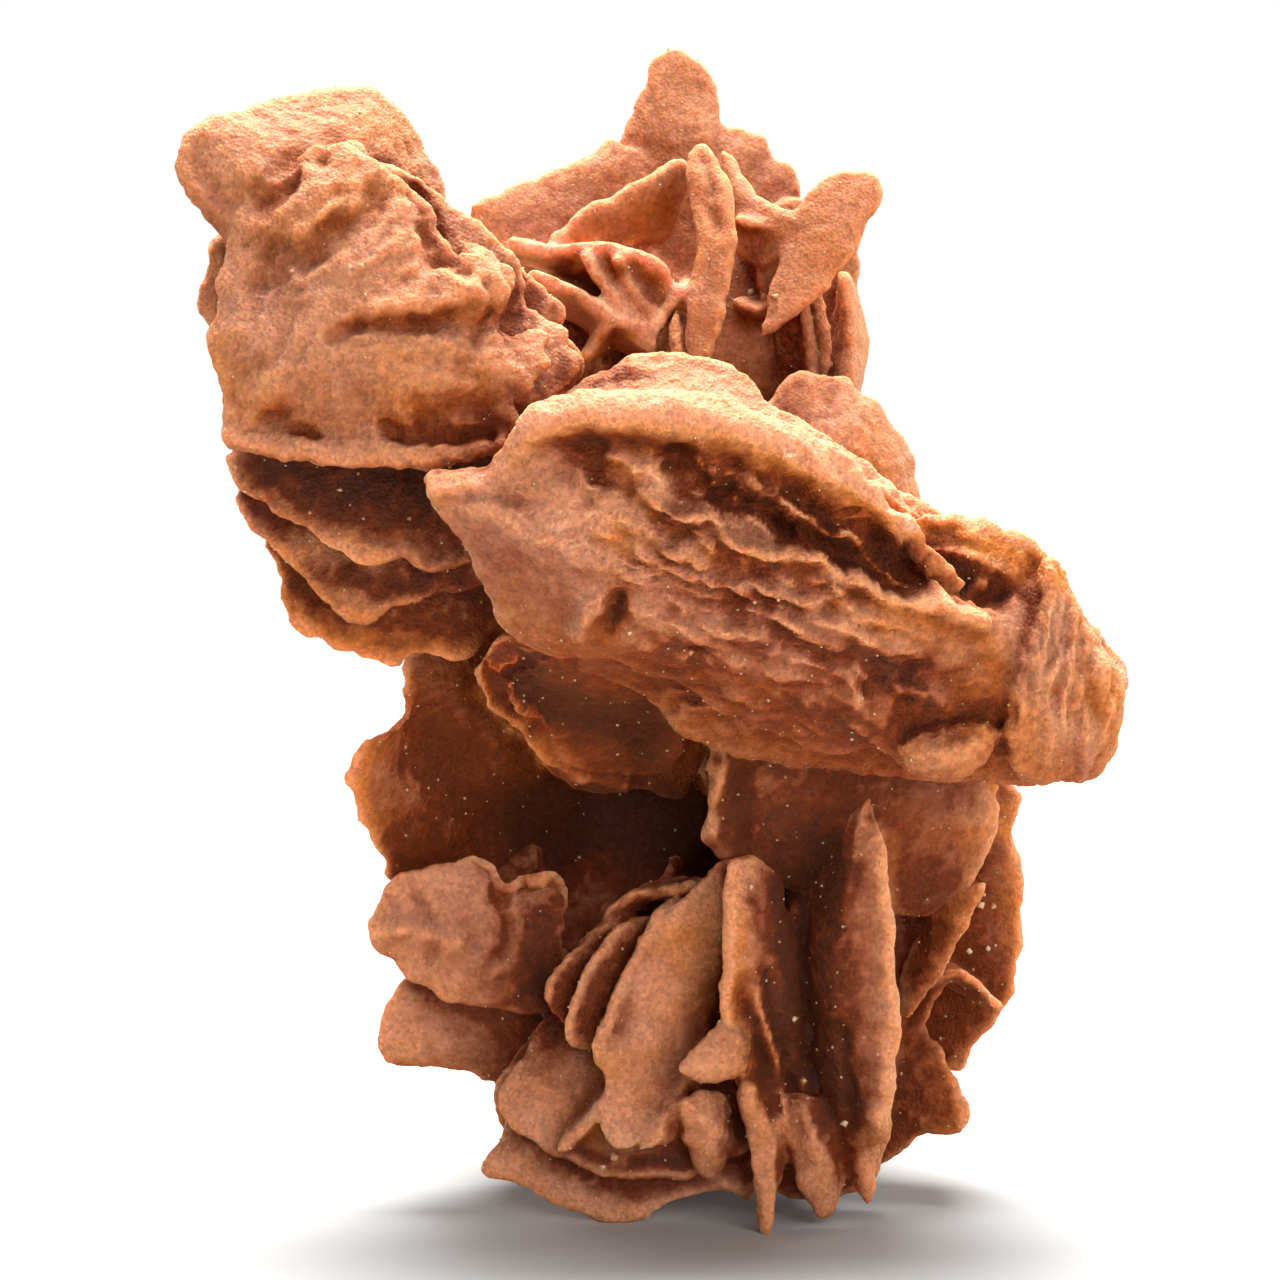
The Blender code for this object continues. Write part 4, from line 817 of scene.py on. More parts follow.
def lower_rosette_right():
    """The upright blades of the lower rosette, its tips and the leaves at its right."""
    heel = [
        (4, 9), (6, 3.6), (8.4, 2.6), (10.4, 2.2), (12.4, 2.4), (14.4, 3.6), (15, 8), (12, 12), (7, 12),
    ]
    brow = [
        (4.8, 30), (4.2, 27), (4, 25.5), (3.6, 24.2), (4, 23.2), (4.7, 22.6), (7, 21.4), (12, 19.6),
        (18, 19.4), (21, 23.5), (21, 29), (14, 31.4),
    ]
    tall_left = [
        (5.2, 21.8), (5.2, 18.7), (4.9, 16.1), (4.8, 14.3), (5.0, 11.7), (5.4, 9.6), (6.4, 8.2), (7.8, 7.6),
        (9.6, 8.6), (9.9, 12), (9.6, 17), (8.4, 21), (6.6, 23),
    ]
    far_ridge = [(8.2, 17.0), (8.9, 12.4), (9.6, 8.0), (10.2, 5.0)]
    tall_right = [
        (13.7, 26.4), (14.4, 23.6), (14.9, 21), (15.2, 17.5), (15.6, 14.4), (15.7, 12.4), (15.3, 9.3),
        (14.9, 6.6), (14.0, 5.3), (12.4, 5.5), (11.0, 8.2), (10.2, 12.7), (9.9, 17.4), (10.6, 21.2),
        (12.0, 24.2),
    ]
    tip = [(6.0, 9.0), (6.6, 5.0), (7.0, 2.3), (7.5, -0.4), (8.1, 2.3), (8.7, 4.8), (8.6, 8.5)]
    tip_second = [
        (8.6, 8.5), (8.9, 6.0), (9.3, 3.2), (10.2, 1.6), (11.0, 0.9), (11.9, 2.0), (12.0, 4.5), (11.4, 8.0),
    ]
    tip_third = [(11.4, 7.5), (12.2, 4.4), (13.1, 2.5), (13.8, 1.7), (14.2, 4.1), (14.2, 7.0)]
    white_leaf = [
        (20.8, 21.2), (18.7, 20.5), (17.1, 18.6), (15.8, 16.3), (15.5, 14.2), (16.0, 12.9), (17.2, 14.5),
        (18.8, 17.0), (20.1, 19.4),
    ]
    low_right = [
        (15.0, 14.4), (16.4, 13.2), (17.7, 11.8), (18.8, 10), (19.2, 8.5), (19.7, 7), (19.3, 6.2), (18, 5.9),
        (16.4, 5.8), (14, 4), (11, 4.6), (10, 10),
    ]
    right_ledge = [(16.8, 15.0), (18.7, 15.7), (20.2, 15.1), (21.6, 13.6)]
    right_leaf = [
        (17, 31), (20.6, 29.6), (22, 27.3), (22.8, 26.5), (22.4, 25.2), (22.4, 24), (23.1, 22.5),
        (23.2, 21.5), (23, 20), (23.1, 18), (22.8, 16.5), (22.5, 15), (21.9, 13.4), (21.2, 12.2), (20, 11.2),
        (19, 9.9), (13, 11), (10, 18), (12, 26),
    ]
    return [
        flat(heel, depth=-1.0, turn=6, lean=4, thick=3.0),
        flat(brow, depth=-1.6, turn=12, lean=-10, thick=3.2),
        flat(tall_left, depth=-6.0, turn=42, lean=-2, thick=2.6),
        on_edge(far_ridge, near=(-3.0, -5.6), reach=7, swing=20, thick=1.4, ends=0.2),
        flat(tall_right, depth=-6.2, turn=-36, lean=-2, thick=4.0),
        flat(tip, depth=-6.2, turn=40, lean=0, thick=2.0, lobe=0.1),
        flat(tip_second, depth=-5.2, turn=30, lean=0, thick=2.4, lobe=0.15),
        flat(tip_third, depth=-4.4, turn=-10, lean=0, thick=2.0, lobe=0.15),
        flat(white_leaf, depth=-1.5, turn=-40, lean=-6, thick=1.3, rim=0.35, lobe=0.15),
        flat(low_right, depth=2.5, turn=-28, lean=8, thick=2.2),
        on_edge(right_ledge, near=(0.5, 1.5), reach=10, swing=-14, thick=1.6, rise=6),
        flat(right_leaf, depth=6.5, turn=-22, lean=-4, thick=2.8),
        disc((10.4, 3.0, 13.5), turn=74, lean=0, wide=14, tall=19, thick=3.0, spin=-6),
        disc((14.5, 7.0, 15.0), turn=-52, lean=4, wide=13, tall=15, thick=2.6, spin=12),
        disc((12.0, 3.0, 25.0), turn=58, lean=-10, wide=12, tall=12, thick=2.6, spin=20),
    ]


def back_blades():
    """The far side: discs that radiate from both rosettes as those of the front do."""
    return [
        disc((1.0, 18.2, 11.5), turn=74, lean=-4, wide=17, tall=23, thick=3.0, spin=6),
        disc((9.0, 14.5, 14.5), turn=-56, lean=4, wide=22, tall=31, thick=2.8, spin=-8),
        disc((-5.0, 12.5, 14.5), turn=40, lean=6, wide=20, tall=30, thick=2.8, spin=10),
        disc((11.0, 10.0, 17.0), turn=-30, lean=8, wide=20, tall=24, thick=2.6, spin=14),
        disc((3.0, 15.0, 22.0), turn=8, lean=-52, wide=24, tall=18, thick=2.6, spin=6),
        disc((3.0, 16.5, 32.0), turn=-70, lean=6, wide=18, tall=22, thick=2.8, spin=-14),
        disc((6.5, 14.0, 36.0), turn=30, lean=-14, wide=20, tall=20, thick=2.8, spin=18),
        disc((-2.0, 14.0, 38.0), turn=-28, lean=16, wide=18, tall=22, thick=2.6, spin=-20),
        disc((3.5, 22.0, 56.0), turn=72, lean=6, wide=10, tall=19, thick=2.4, spin=10),
        disc((6.5, 18.5, 52.0), turn=-48, lean=-10, wide=16, tall=20, thick=2.4, spin=-12),
        disc((-0.5, 18.0, 52.0), turn=44, lean=14, wide=16, tall=20, thick=2.4, spin=16),
        disc((3.0, 17.0, 46.0), turn=10, lean=40, wide=20, tall=16, thick=2.6, spin=-6),
        disc((11.0, 17.5, 21.0), turn=-84, lean=18, wide=10, tall=11, thick=1.8, spin=20),
        disc((13.5, 14.5, 11.0), turn=-78, lean=-6, wide=9, tall=12, thick=1.8, spin=10),
        disc((-4.5, 18.0, 20.0), turn=66, lean=-16, wide=10, tall=10, thick=1.8, spin=-12),
        disc((-8.0, 14.0, 12.0), turn=84, lean=8, wide=9, tall=12, thick=1.8, spin=6),
        disc((6.0, 20.5, 9.5), turn=-24, lean=34, wide=10, tall=9, thick=1.8),
        disc((9.0, 18.0, 33.0), turn=-64, lean=-12, wide=9, tall=12, thick=1.8, spin=-18),
        disc((-3.0, 18.5, 33.0), turn=58, lean=20, wide=9, tall=10, thick=1.8, spin=14),
        disc((8.0, 20.0, 49.0), turn=-76, lean=14, wide=8, tall=10, thick=1.6, spin=8),
        disc((-1.5, 20.0, 58.0), turn=60, lean=-14, wide=8, tall=9, thick=1.6, spin=-8),
    ]


def build_mesh(name, points, quads, triangles=None):
    """A mesh from an array of points, and arrays of the corner numbers of its faces."""
    triangles = np.empty((0, 3), int) if triangles is None else triangles
    corners = np.concatenate([quads.ravel(), triangles.ravel()])
    totals = np.concatenate([np.full(len(quads), 4), np.full(len(triangles), 3)])
    mesh = bpy.data.meshes.new(name)
    mesh.vertices.add(len(points))
    mesh.vertices.foreach_set("co", points.astype(np.float32).ravel())
    mesh.loops.add(len(corners))
    mesh.loops.foreach_set("vertex_index", corners.astype(np.int32))
    mesh.polygons.add(len(totals))
    mesh.polygons.foreach_set("loop_start", np.concatenate([[0], np.cumsum(totals)[:-1]]).astype(np.int32))
    mesh.update(calc_edges=True)
    return mesh


def in_scene(name, data):
    """A new object that holds a mesh, a light or a lens, at the origin of the scene."""
    thing = bpy.data.objects.new(name, data)
    bpy.context.scene.collection.objects.link(thing)
    return thing


def grown_together(plates, voxel):
    """The outer skin of overlapping blades: points about a voxel apart and four-sided faces."""
    firsts = np.cumsum([0] + [len(points) for points, _, _ in plates])
    points = np.vstack([points for points, _, _ in plates])
    quads = np.vstack([quads + first for (_, quads, _), first in zip(plates, firsts)])
    triangles = np.vstack([fans + first for (_, _, fans), first in zip(plates, firsts)])
    thing = in_scene("blades", build_mesh("blades", points, quads, triangles))
    modifier = thing.modifiers.new("grown together", "REMESH")
    modifier.mode = "VOXEL"
    modifier.voxel_size = voxel * QUICK_SHARE
    graph = bpy.context.evaluated_depsgraph_get()
    mesh = bpy.data.meshes.new_from_object(thing.evaluated_get(graph))
    bpy.data.objects.remove(thing, do_unlink=True)
    skin = np.empty(len(mesh.vertices) * 3, np.float32)
    mesh.vertices.foreach_get("co", skin)
    corners = np.empty(len(mesh.loops), np.int32)
    mesh.loops.foreach_get("vertex_index", corners)
    edges = np.empty(len(mesh.edges) * 2, np.int32)
    mesh.edges.foreach_get("vertices", edges)
    bpy.data.meshes.remove(mesh)
    return outer_skins(skin.reshape(-1, 3).astype(float), corners.reshape(-1, 4), edges.reshape(-1, 2))


def outer_skins(points, quads, edges):
    """Leaves out the skins of sealed hollows, which are inside out, and crumbs.

    Each point takes the lowest number that an edge brings, so that a skin's points end with the same
    number. A skin's volume is a sixth of the sum of its faces' corners' triple products.
    """
    label = np.arange(len(points))
    while True:
        low = np.minimum(label[edges[:, 0]], label[edges[:, 1]])
        new = label.copy()
        np.minimum.at(new, edges[:, 0], low)
        np.minimum.at(new, edges[:, 1], low)
        new = new[new]
        if np.array_equal(new, label):
            break
        label = new
    a, b, c, d = (points[quads[:, k]] for k in range(4))
    share = np.einsum("ij,ij->i", a, np.cross(b, c)) + np.einsum("ij,ij->i", a, np.cross(c, d))
    volume = np.bincount(label[quads[:, 0]], share / 6, len(points))
    kept = volume[label] > LEAST_SKIN
    number = np.cumsum(kept) - 1
    return points[kept], number[quads[kept[quads[:, 0]]]], number[edges[kept[edges[:, 0]]]]


def spread(points, edges, rounds, share=0.6):
    """Values moved by a share towards the mean of their neighbours', some rounds over."""
    count = np.bincount(edges.ravel(), minlength=len(points))[:, None]
    for _ in range(rounds):
        total = np.stack(
            [
                np.bincount(edges[:, 0], column[edges[:, 1]], len(points))
                + np.bincount(edges[:, 1], column[edges[:, 0]], len(points))
                for column in points.T
            ],
            axis=1,
        )
        points = points + share * (total / count - points)
    return points


def normals_of(points, quads):
    """Unit normals at the points: the sum of the faces' crossed diagonals round each."""
    a, b, c, d = (points[quads[:, k]] for k in range(4))
    across = np.cross(c - a, d - b)
    total = np.stack(
        [np.bincount(quads.ravel(), np.repeat(across[:, k], 4), len(points)) for k in range(3)], axis=1
    )
    return unit(total)


def away_from(places, path):
    """Distances from places to a path of straight runs."""
    path = np.asarray(path, float)
    nearest = np.full(len(places), np.inf)
    for a, b in zip(path[:-1], path[1:]):
        run = b - a
        t = np.clip((places - a) @ run / (run @ run), 0, 1)
        nearest = np.minimum(nearest, np.linalg.norm(places - a - t[:, None] * run, axis=1))
    return nearest


def carve(points, normals, strokes, streaks):
    """Raises or sinks what faces the eye: strokes along paths, and streaks that run one way.

    A stroke lifts by height exp(-(distance / width)^2), and noise breaks up the thin ones. A streak
    field lifts by height (2 |noise| - 0.6), which leaves sharp clefts between round ribs. Its noise is
    stretched to long by short and turned by an angle, within an oval that fades outwards.
    """
    stray = np.stack([lattice_noise(points, STRAY_SIZE, seed) for seed in (31, 32)], axis=1)
    places = seen_at(points) + STRAY * stray
    shown = np.clip(((EYE - points) * normals).sum(axis=1) / np.linalg.norm(EYE - points, axis=1) * 3, 0, 1)
    broken = np.clip(0.9 + 0.7 * lattice_noise(points, BREAK_SIZE, 33), 0, 1.6)
    lift = np.zeros(len(points))
    for path, width, height in strokes:
        whole = broken if width < THIN_STROKE else 1
        lift += height * whole * np.exp(-((away_from(places, path) / width) ** 2))
    for centre, radii, angle, long, short, height in streaks:
        inside = np.clip(1.6 - 1.6 * np.linalg.norm((places - centre) / radii, axis=1), 0, 1)
        a = math.radians(angle)
        along = places @ (math.cos(a), math.sin(a))
        across = places @ (-math.sin(a), math.cos(a))
        stretched = np.stack([along / long, across / short, points[:, 1] / long], axis=1)
        rib = 2 * np.abs(lattice_noise(stretched, 1.0, int(10 * long + short * 100))) - 0.6
        lift += height * inside * rib
    return points + normals * (lift * shown)[:, None]


def terraces(levels):
    """Growth steps: a slow fall from one whole level to the next, and a short smooth rise at its end."""
    part = levels - np.floor(levels)
    rise = np.clip((part - FALL_SHARE) / RISE_SHARE, 0, 1)
    return rise * rise * (3 - 2 * rise) - part


def roughen(points, normals, amount):
    """Lifts every point by the lumps and grains, creases and growth steps that the skin is rough with.

    Lumps and grains are noise, creases 0.7 - 3 |noise|, and steps terraces of noise with ragged edges.
    """
    lift = sum(height * lattice_noise(points, size, seed) for height, size, seed in LUMPS)
    lift += CREASE_HEIGHT * (0.7 - 3 * np.abs(lattice_noise(points, CREASE_SIZE, 45)))
    levels = STEPS * lattice_noise(points, STEP_SIZE, 51)
    levels += STEP_RAGGED * lattice_noise(points, CREASE_SIZE, 52)
    lift += STEP_HEIGHT * terraces(levels)
    return points + normals * (amount * lift)[:, None]


def hollows(points, quads, edges):
    """How far each point lies below its surroundings, in millimetres, over about one millimetre and two."""
    normals = normals_of(points, quads)
    near = spread(points, edges, 14)
    far = spread(near, edges, 40)
    return ((near - points) * normals).sum(axis=1), ((far - points) * normals).sum(axis=1)


def painted(points, normals, patches):
    """The sum of amount exp(-(distance / width)^2) over ragged paths, on what faces the front."""
    ragged = seen_at(points) + FRAY * lattice_noise(points, FRAY_SIZE, 35)[:, None]
    total = np.zeros(len(points))
    for path, width, amount in patches:
        total += amount * np.exp(-((away_from(ragged, path) / width) ** 2))
    return total * (normals[:, 1] < 0.3)


def zone(plates, voxel, strokes=(), streaks=(), shade_patches=(), glow_patches=(), roughness=1.0, sand=1.0, shade_strength=1.0):
    """One zone's skin: its blades grown together, worn round, carved and roughened.

    With it come its voxel, how sandy it is, how strongly its sheltered places are painted with shade, and
    its painted patches of shade and light and of orange glow.
    """
    points, quads, edges = grown_together(plates, voxel)
    points = spread(points, edges, 1)
    normals = normals_of(points, quads)
    # Painted patches of shade and light.
    patch_shade = painted(points, normals, shade_patches)
    # Painted patches of orange glow, which take away dust and painted light.
    painted_glow = painted(points, normals, glow_patches)
    points = carve(points, normals, strokes, streaks)
    points = spread(points, edges, 1, 0.4)
    points = roughen(points, normals_of(points, quads), roughness)
    points[:, 2] = np.maximum(points[:, 2], GROUND)
    return points, quads, edges, voxel, sand, shade_strength, patch_shade, painted_glow


def sheltered(skins):
    """How sheltered each point of each skin is, 0 to 1, by how much skin stands close in front of it.

    The skins' area is counted in cubes, then spread over a distance s by a bell curve, as a product
    of its transform. It is read at 1.5 s in front of each point, where a lone flat face leaves
    exp(-1.125) of what it has at the face itself.
    """
    # The shelter found here is painted on the skin as shade.
    low = np.min([skin[0].min(axis=0) for skin in skins], axis=0) - SHELTER_MARGIN
    high = np.max([skin[0].max(axis=0) for skin in skins], axis=0) + SHELTER_MARGIN
    shape = np.ceil((high - low) / SHELTER_CELL).astype(int)
    area = np.zeros(shape)
    for points, _, _, voxel, *_ in skins:
        cell = ((points - low) / SHELTER_CELL).astype(int)
        count = np.bincount(np.ravel_multi_index(cell.T, shape), minlength=area.size).reshape(shape)
        area += count * (voxel * QUICK_SHARE) ** 2 / SHELTER_CELL**3
    wave = np.fft.rfftn(area)
    steps = [np.fft.fftfreq(shape[0]), np.fft.fftfreq(shape[1]), np.fft.rfftfreq(shape[2])]
    square = sum(
        step.reshape([-1 if k == axis else 1 for k in range(3)]) ** 2 for axis, step in enumerate(steps)
    )
    totals = [0.0 for _ in skins]
    for size, share in SHELTER_SIZES:
        bell = np.exp(-2 * (math.pi * size / SHELTER_CELL) ** 2 * square)
        near = np.fft.irfftn(wave * bell, s=shape) * size * math.sqrt(math.tau)
        for k, (points, quads, edges, *_) in enumerate(skins):
            smooth = spread(points, edges, 4)
            ahead = smooth + 1.5 * size * normals_of(smooth, quads)
            cell = np.clip(((ahead - low) / SHELTER_CELL).astype(int), 0, shape - 1)
            totals[k] = totals[k] + share * np.clip((near[tuple(cell.T)] - LONE_FACE) / SHELTER_SPAN, 0, 1)
    return totals


def on_the_rose(name, mesh, material):
    """Puts one mesh of the rose into the scene, on its solid."""
    thing = in_scene(name, mesh)
    mesh.materials.append(material)
    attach(thing, "root")
    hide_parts("gypsum_rose")


def piece(name, skin, shelter, material):
    """A skin as a mesh in metres, with what its material reads at each point.

    That is the dust with painted light, which is more on tops and less in hollows and where orange
    glow is painted, how deep the point lies, how much painted shade it has, as a sheltered place or an
    underside and from painted patches of shade and light, and how sandy the zone is.
    """
    points, quads, edges, _, sand, shade_strength, patch_shade, painted_glow = skin
    near, far = hollows(points, quads, edges)
    underside = np.clip(-UNDER_SLOPE * normals_of(spread(points, edges, 6), quads)[:, 2], 0, 1)
    # What stands out keeps less of the painted shade, so that rims are painted lighter.
    shade_kept = np.clip(1 + SHADE_LOST_PER_MM * np.minimum(near, 0), LEAST_SHADE_KEPT, 1)
    up = normals_of(spread(points, edges, 3), quads)[:, 2]
    # Dust with painted light: paler on tops, less in hollows, and less where orange glow is painted.
    dust_and_light = np.clip(DUST_AND_LIGHT_ON_WALL + DUST_AND_LIGHT_UP * up - DUST_AND_LIGHT_SUNK * np.minimum(far, 1), 0, 1) - painted_glow
    # Painted shade: sheltered places and undersides darker, with the painted patches of shade and light
    # added.
    shade = 1 - (1 - shade_strength * shade_kept * np.clip(shelter, 0, 1)) * (1 - UNDER_SHADE * underside)
    shade = np.clip(shade + patch_shade * np.where(patch_shade > 0, shade_kept, 1), -1, MOST_SHADE)
    mesh = build_mesh(name, (points - [*MIDDLE, 0]) * MM, quads)
    mesh.polygons.foreach_set("use_smooth", np.ones(len(quads), bool))
    sandy = np.full(len(points), sand)
    for key, values in (("dust_and_light", dust_and_light), ("deep", far), ("shelter", shade), ("sandy", sandy)):
        mesh.attributes.new(key, "FLOAT", "POINT").data.foreach_set("value", values.astype(np.float32))
    on_the_rose(name, mesh, material)
    print(name, "triangles", 2 * len(quads))


def linear(hex_colour):
    """An sRGB hex colour as linear RGBA."""
    parts = [int(hex_colour[i : i + 2], 16) / 255 for i in (1, 3, 5)]
    return (*(p / 12.92 if p <= 0.04045 else ((p + 0.055) / 1.055) ** 2.4 for p in parts), 1.0)


def feed(tree, node, inputs):
    """Gives each of a node's inputs a link where its source is another node's output, or else a value."""
    for key, source in inputs.items():
        if isinstance(source, bpy.types.NodeSocket):
            tree.links.new(source, node.inputs[key])
        else:
            node.inputs[key].default_value = source


def add(tree, kind, inputs, stops=(), **settings):
    """Adds a node with its own settings, its ramp's stops and its inputs' links and values."""
    node = tree.nodes.new(kind)
    for key, value in settings.items():
        setattr(node, key, value)
    for k, (position, colour) in enumerate(stops):
        stop = node.color_ramp.elements[k] if k < 2 else node.color_ramp.elements.new(position)
        stop.position, stop.color = position, colour
    feed(tree, node, inputs)
    return node


def sandy_gypsum():
    """Selenite that grew through red desert sand: grains of 0.2 mm show all over it.

    Its light scatters inside, so that thin rims glow orange. Rims are painted paler, as wear and as
    highlights, and hollows, sheltered places and undersides are painted a deeper red-brown as shade.
    Chosen patches are painted paler as light or clear orange as glow. Dust and painted light make its
    tops paler and pinker.
    """
    material = bpy.data.materials.new("sandy_gypsum_painted_shade_and_light")
    material.use_nodes = True
    tree = material.node_tree
    place = add(tree, "ShaderNodeTexCoord", {}).outputs["Object"]
    dust_and_light, deep, shelter, sandy = (
        add(tree, "ShaderNodeAttribute", {}, attribute_name=name).outputs["Fac"]
        for name in ("dust_and_light", "deep", "shelter", "sandy")
    )
    patches, tints, coarse = (
        add(
            tree,
            "ShaderNodeTexNoise",
            {"Vector": place, "Scale": 1 / (size * MM), "Detail": detail, "Roughness": roughness},
        ).outputs["Fac"]
        for size, detail, roughness in (PATCHES, TINTS, COARSE_GRAINS)
    )
    # The clear orange gypsum, and what lies on it: dust in patches with painted light on tops, and flecks of
    # other tints.
    dusted_and_lit = add(tree, "ShaderNodeMath", {0: dust_and_light, 1: DUST_AND_LIGHT_IN_HUE, 2: patches}, operation="MULTIPLY_ADD")
    hue = add(
        tree,
        "ShaderNodeValToRGB",
        {"Fac": dusted_and_lit.outputs["Value"]},
        ((0.55, linear("#C87630")), (1.0, linear("#D29474")), (0.76, linear("#D08A5E"))),
    )
    fleck = add(
        tree, "ShaderNodeValToRGB", {"Fac": tints}, ((0.3, (0.86, 0.8, 0.75, 1)), (0.62, (1, 1, 1, 1)))
    )
    base = add(
        tree,
        "ShaderNodeMix",
        {"Factor": 1.0, "A": hue.outputs["Color"], "B": fleck.outputs["Color"]},
        data_type="RGBA",
        blend_type="MULTIPLY",
    )
    # Painted shade darkens sunk places, and what stands out is painted paler, as wear and as a highlight,
    # both in full at 0.4 mm.
    sunk_shade = add(tree, "ShaderNodeMapRange", {"Value": deep, "From Max": 0.4, "To Max": 0.75})
    worn_and_highlit = add(tree, "ShaderNodeMapRange", {"Value": deep, "From Max": -0.4, "To Max": 0.5})
    # Painted shade of sheltered places and undersides, and painted light, pale, where the painted shade is
    # less than nothing.
    painted_light = add(tree, "ShaderNodeMapRange", {"Value": shelter, "From Max": -1.0})
    shade_share = add(
        tree, "ShaderNodeMapRange", {"Value": shelter, "From Min": 0.14, "From Max": 1.0, "To Max": 0.95}
    )
    strength = add(tree, "ShaderNodeMapRange", {"Value": shelter, "From Min": 0.5, "From Max": 1.5})
    # The colours of the painted shade, darkest where it is strongest.
    shade_tint = add(
        tree,
        "ShaderNodeValToRGB",
        {"Fac": strength.outputs["Result"]},
        ((0.4, linear("#782E08")), (1.0, linear("#481804"))),
    )
    colour = base.outputs["Result"]
    for share, over in (
        (sunk_shade, linear("#9C4A1C")),
        (worn_and_highlit, linear("#E8A470")),
        (painted_light, linear("#ECAA86")),
        (shade_share, shade_tint.outputs["Color"]),
    ):
        colour = add(
            tree,
            "ShaderNodeMix",
            {"Factor": share.outputs["Result"], "A": colour, "B": over},
            data_type="RGBA",
        ).outputs["Result"]
    # Single grains of sand, in their own tints and as bumps.
    cells = add(tree, "ShaderNodeTexVoronoi", {"Vector": place, "Scale": 1 / (TINTED_GRAIN * MM)})
    grain = add(
        tree,
        "ShaderNodeValToRGB",
        {"Fac": cells.outputs["Color"]},
        ((0.15, (0.82, 0.79, 0.76, 1)), (0.8, (1.16, 1.15, 1.12, 1))),
    )
    sanded = add(
        tree,
        "ShaderNodeMix",
        {"Factor": 1.0, "A": colour, "B": grain.outputs["Color"]},
        data_type="RGBA",
        blend_type="MULTIPLY",
    )
    grains = add(tree, "ShaderNodeTexVoronoi", {"Vector": place, "Scale": 1 / (RAISED_GRAIN * MM)})
    height = add(
        tree, "ShaderNodeMath", {0: coarse, 1: 0.9, 2: grains.outputs["Distance"]}, operation="MULTIPLY_ADD"
    )
    relief = add(tree, "ShaderNodeMath", {0: height.outputs["Value"], 1: sandy}, operation="MULTIPLY")
    bump = add(
        tree,
        "ShaderNodeBump",
        {"Height": relief.outputs["Value"], "Strength": 1.0, "Distance": BUMP_HEIGHT * MM},
    )
    shader = tree.nodes["Principled BSDF"]
    feed(tree, shader, {"Base Color": sanded.outputs["Result"], "Normal": bump.outputs["Normal"]})
    feed(tree, shader, {"Roughness": 0.72, "IOR": 1.52, "Specular IOR Level": 0.18})
    feed(tree, shader, {"Subsurface Weight": 1.0, "Subsurface Radius": (1.0, 0.33, 0.1)})
    feed(tree, shader, {"Subsurface Scale": GYPSUM_GLOW * MM})
    return material


def clear_sand():
    """Quartz sand rounded by wind: pale, clear and smooth, so that single grains catch the light."""
    material = bpy.data.materials.new("quartz_sand_wind_worn")
    material.use_nodes = True
    tree = material.node_tree
    place = add(tree, "ShaderNodeTexCoord", {}).outputs["Object"]
    cells = add(tree, "ShaderNodeTexVoronoi", {"Vector": place, "Scale": 1 / (ONE_SAND_TINT * MM)})
    hue = add(
        tree,
        "ShaderNodeValToRGB",
        {"Fac": cells.outputs["Color"]},
        ((0.2, linear("#C98A52")), (0.8, linear("#E2C098"))),
    )
    shader = tree.nodes["Principled BSDF"]
    feed(tree, shader, {"Base Color": hue.outputs["Color"], "Roughness": 0.22, "IOR": 1.54})
    feed(tree, shader, {"Specular IOR Level": 0.6, "Subsurface Weight": 0.6})
    feed(tree, shader, {"Subsurface Radius": (1.0, 0.7, 0.5), "Subsurface Scale": QUARTZ_GLOW * MM})
    return material


def caught_grains(skins):
    """Sand grains half sunk in the skin: scattered small ones, and a few larger ones in crannies.

    A grain is an octahedron whose corners lie at 0.6 to 1.2 times its radius. It's turned by a random
    rotation, the orthogonal factor of a matrix of random numbers.
    """
    random = np.random.default_rng(7)
    skin = np.vstack([points for points, *_ in skins])
    at = skin[random.choice(len(skin), LOOSE_GRAINS, replace=False)]
    radii = random.uniform(LEAST_GRAIN, MOST_GRAIN, LOOSE_GRAINS)
    places = seen_at(skin)
    depth = np.linalg.norm(skin - EYE, axis=1)
    for place, radius in GRIT:
        close = np.flatnonzero(np.linalg.norm(places - place, axis=1) < 0.4)
        at = np.vstack([at, skin[close[np.argmin(depth[close])]]])
        radii = np.append(radii, radius)
    turns = np.linalg.qr(random.normal(size=(len(at), 3, 3)))[0]
    turns[:, :, 0] *= np.linalg.det(turns)[:, None]
    corners = np.array([(1, 0, 0), (-1, 0, 0), (0, 1, 0), (0, -1, 0), (0, 0, 1), (0, 0, -1)], float)
    out = corners * random.uniform(0.6, 1.2, (len(at), 6, 1)) * radii[:, None, None]
    points = (at[:, None] + np.einsum("nij,nkj->nki", turns, out)).reshape(-1, 3)
    faces = np.array(
        [(0, 2, 4), (2, 1, 4), (1, 3, 4), (3, 0, 4), (2, 0, 5), (1, 2, 5), (3, 1, 5), (0, 3, 5)]
    )
    triangles = (faces[None] + 6 * np.arange(len(at))[:, None, None]).reshape(-1, 3)
    points[:, 2] = np.maximum(points[:, 2], GROUND)
    mesh = build_mesh("caught_sand", (points - [*MIDDLE, 0]) * MM, np.empty((0, 4), int), triangles)
    on_the_rose("caught_sand", mesh, clear_sand())


def camera():
    """A camera at the measured eye, whose picture is as wide as the measured one."""
    lens = bpy.data.cameras.new("camera")
    lens.sensor_width = SENSOR_WIDTH
    lens.lens = SENSOR_WIDTH * EYE_DISTANCE / VIEW_WIDTH
    lens.clip_start = 0.001
    thing = in_scene("camera", lens)
    thing.location = (EYE - [*MIDDLE, 0]) * MM
    thing.rotation_euler = (math.radians(90 - EYE_LIFT_DEG), 0, 0)
    bpy.context.scene.camera = thing


def softbox(name, place, aim, size, power):
    """A square soft light in metres, turned to what it lights."""
    light = bpy.data.lights.new(name, "AREA")
    light.size = size
    light.energy = power
    thing = in_scene(name, light)
    out = np.array(place) - np.array(aim)
    turn = math.atan2(out[1], out[0])
    thing.location = place
    thing.rotation_euler = (0, math.acos(out[2] / np.linalg.norm(out)), turn)


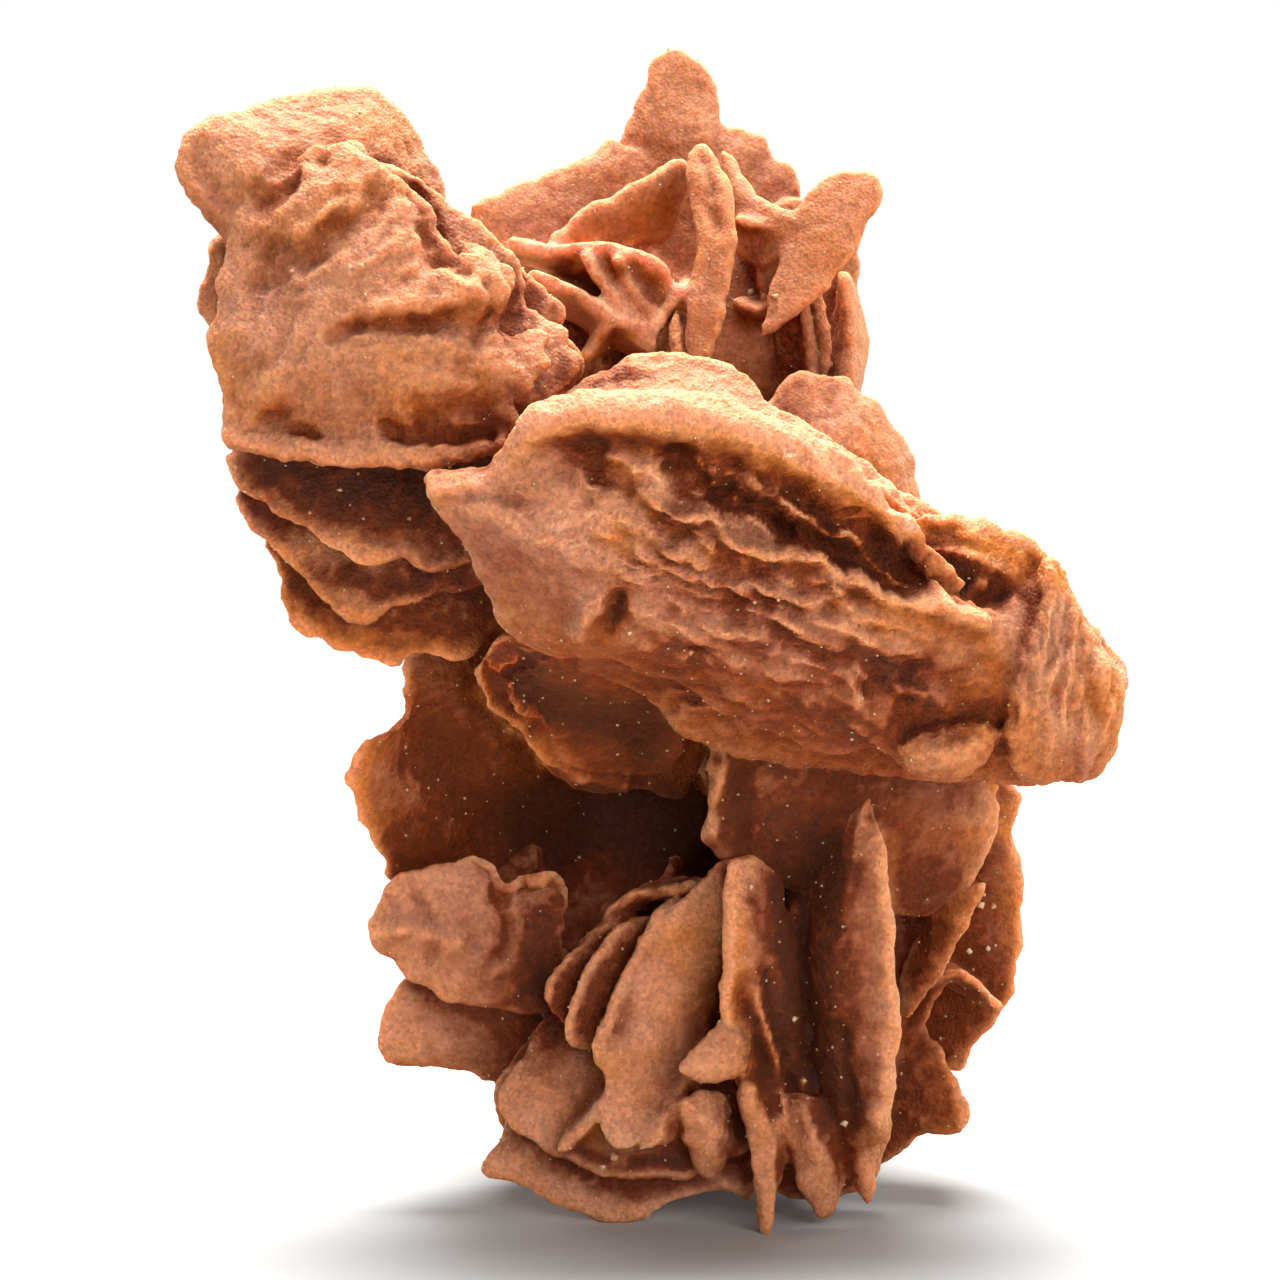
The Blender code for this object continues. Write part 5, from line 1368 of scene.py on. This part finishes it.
def studio():
    """A round white table in a light tent, lit from above and from behind."""
    angle = np.arange(TABLE_CORNERS) * math.tau / TABLE_CORNERS
    rim = TABLE_RADIUS * np.stack([np.cos(angle), np.sin(angle), 0 * angle], axis=1)
    following = np.roll(np.arange(TABLE_CORNERS), -1)
    fans = np.stack([0 * following + TABLE_CORNERS, np.arange(TABLE_CORNERS), following], axis=1)
    mesh = build_mesh("paper_table", np.vstack([rim, [[0, 0, 0]]]), np.empty((0, 4), int), fans)
    # Uncoated white paper: matt, and without a tint of its own.
    paper = bpy.data.materials.new("matt_white_paper")
    paper.use_nodes = True
    tree = paper.node_tree
    feed(tree, tree.nodes["Principled BSDF"], {"Base Color": linear("#CCCCCA"), "Roughness": 0.9})
    mesh.materials.append(paper)
    table = in_scene("paper_table", mesh)
    for light in LIGHTS:
        softbox(*light)
    world = bpy.data.worlds.new("light_tent")
    bpy.context.scene.world = world
    world.use_nodes = True
    tree = world.node_tree
    seen = add(tree, "ShaderNodeLightPath", {}).outputs["Is Camera Ray"]
    glow = add(tree, "ShaderNodeMapRange", {"Value": seen, "To Min": TENT_LIGHT, "To Max": TENT_SEEN})
    feed(tree, tree.nodes["Background"], {"Color": (1, 1, 1, 1), "Strength": glow.outputs["Result"]})
    bpy.context.scene.view_settings.view_transform = "Standard"


def main():
    camera()
    gypsum = sandy_gypsum()
    skins = {
        "tower_blades": zone(tower(), FINE, TOWER_STROKES, TOWER_STREAKS, TOWER_PAINTED_SHADE, roughness=0.75),
        "lamellae_blades": zone(
            lamellae(), FINE, shade_patches=LAMELLA_PAINTED_SHADE, glow_patches=LAMELLA_PAINTED_GLOW, roughness=0.7, sand=0.8
        ),
        "slab_blades": zone(
            slab(), MIDDLING, SLAB_STROKES, SLAB_STREAKS, SLAB_PAINTED_SHADE, SLAB_PAINTED_GLOW, roughness=0.85
        ),
        "core_blades": zone(core(), COARSE),
        "upper_rosette_blades": zone(
            upper_rosette(), FINE, UPPER_STROKES, shade_patches=UPPER_PAINTED_SHADE, roughness=0.45, sand=0.5, shade_strength=0.5
        ),
        "lower_rosette_left_blades": zone(
            lower_rosette_left(), FINE, LEFT_STROKES, (), LEFT_PAINTED_SHADE, LEFT_PAINTED_GLOW, **LEAFLETS
        ),
        "lower_rosette_right_blades": zone(
            lower_rosette_right(), FINE, RIGHT_STROKES, (), RIGHT_PAINTED_SHADE, RIGHT_PAINTED_GLOW, **LEAFLETS
        ),
        "back_blades": zone(back_blades(), COARSE),
    }
    caught_grains(list(skins.values()))
    for (name, skin), shelter in zip(skins.items(), sheltered(list(skins.values()))):
        piece(name, skin, shelter, gypsum)
    studio()


main()
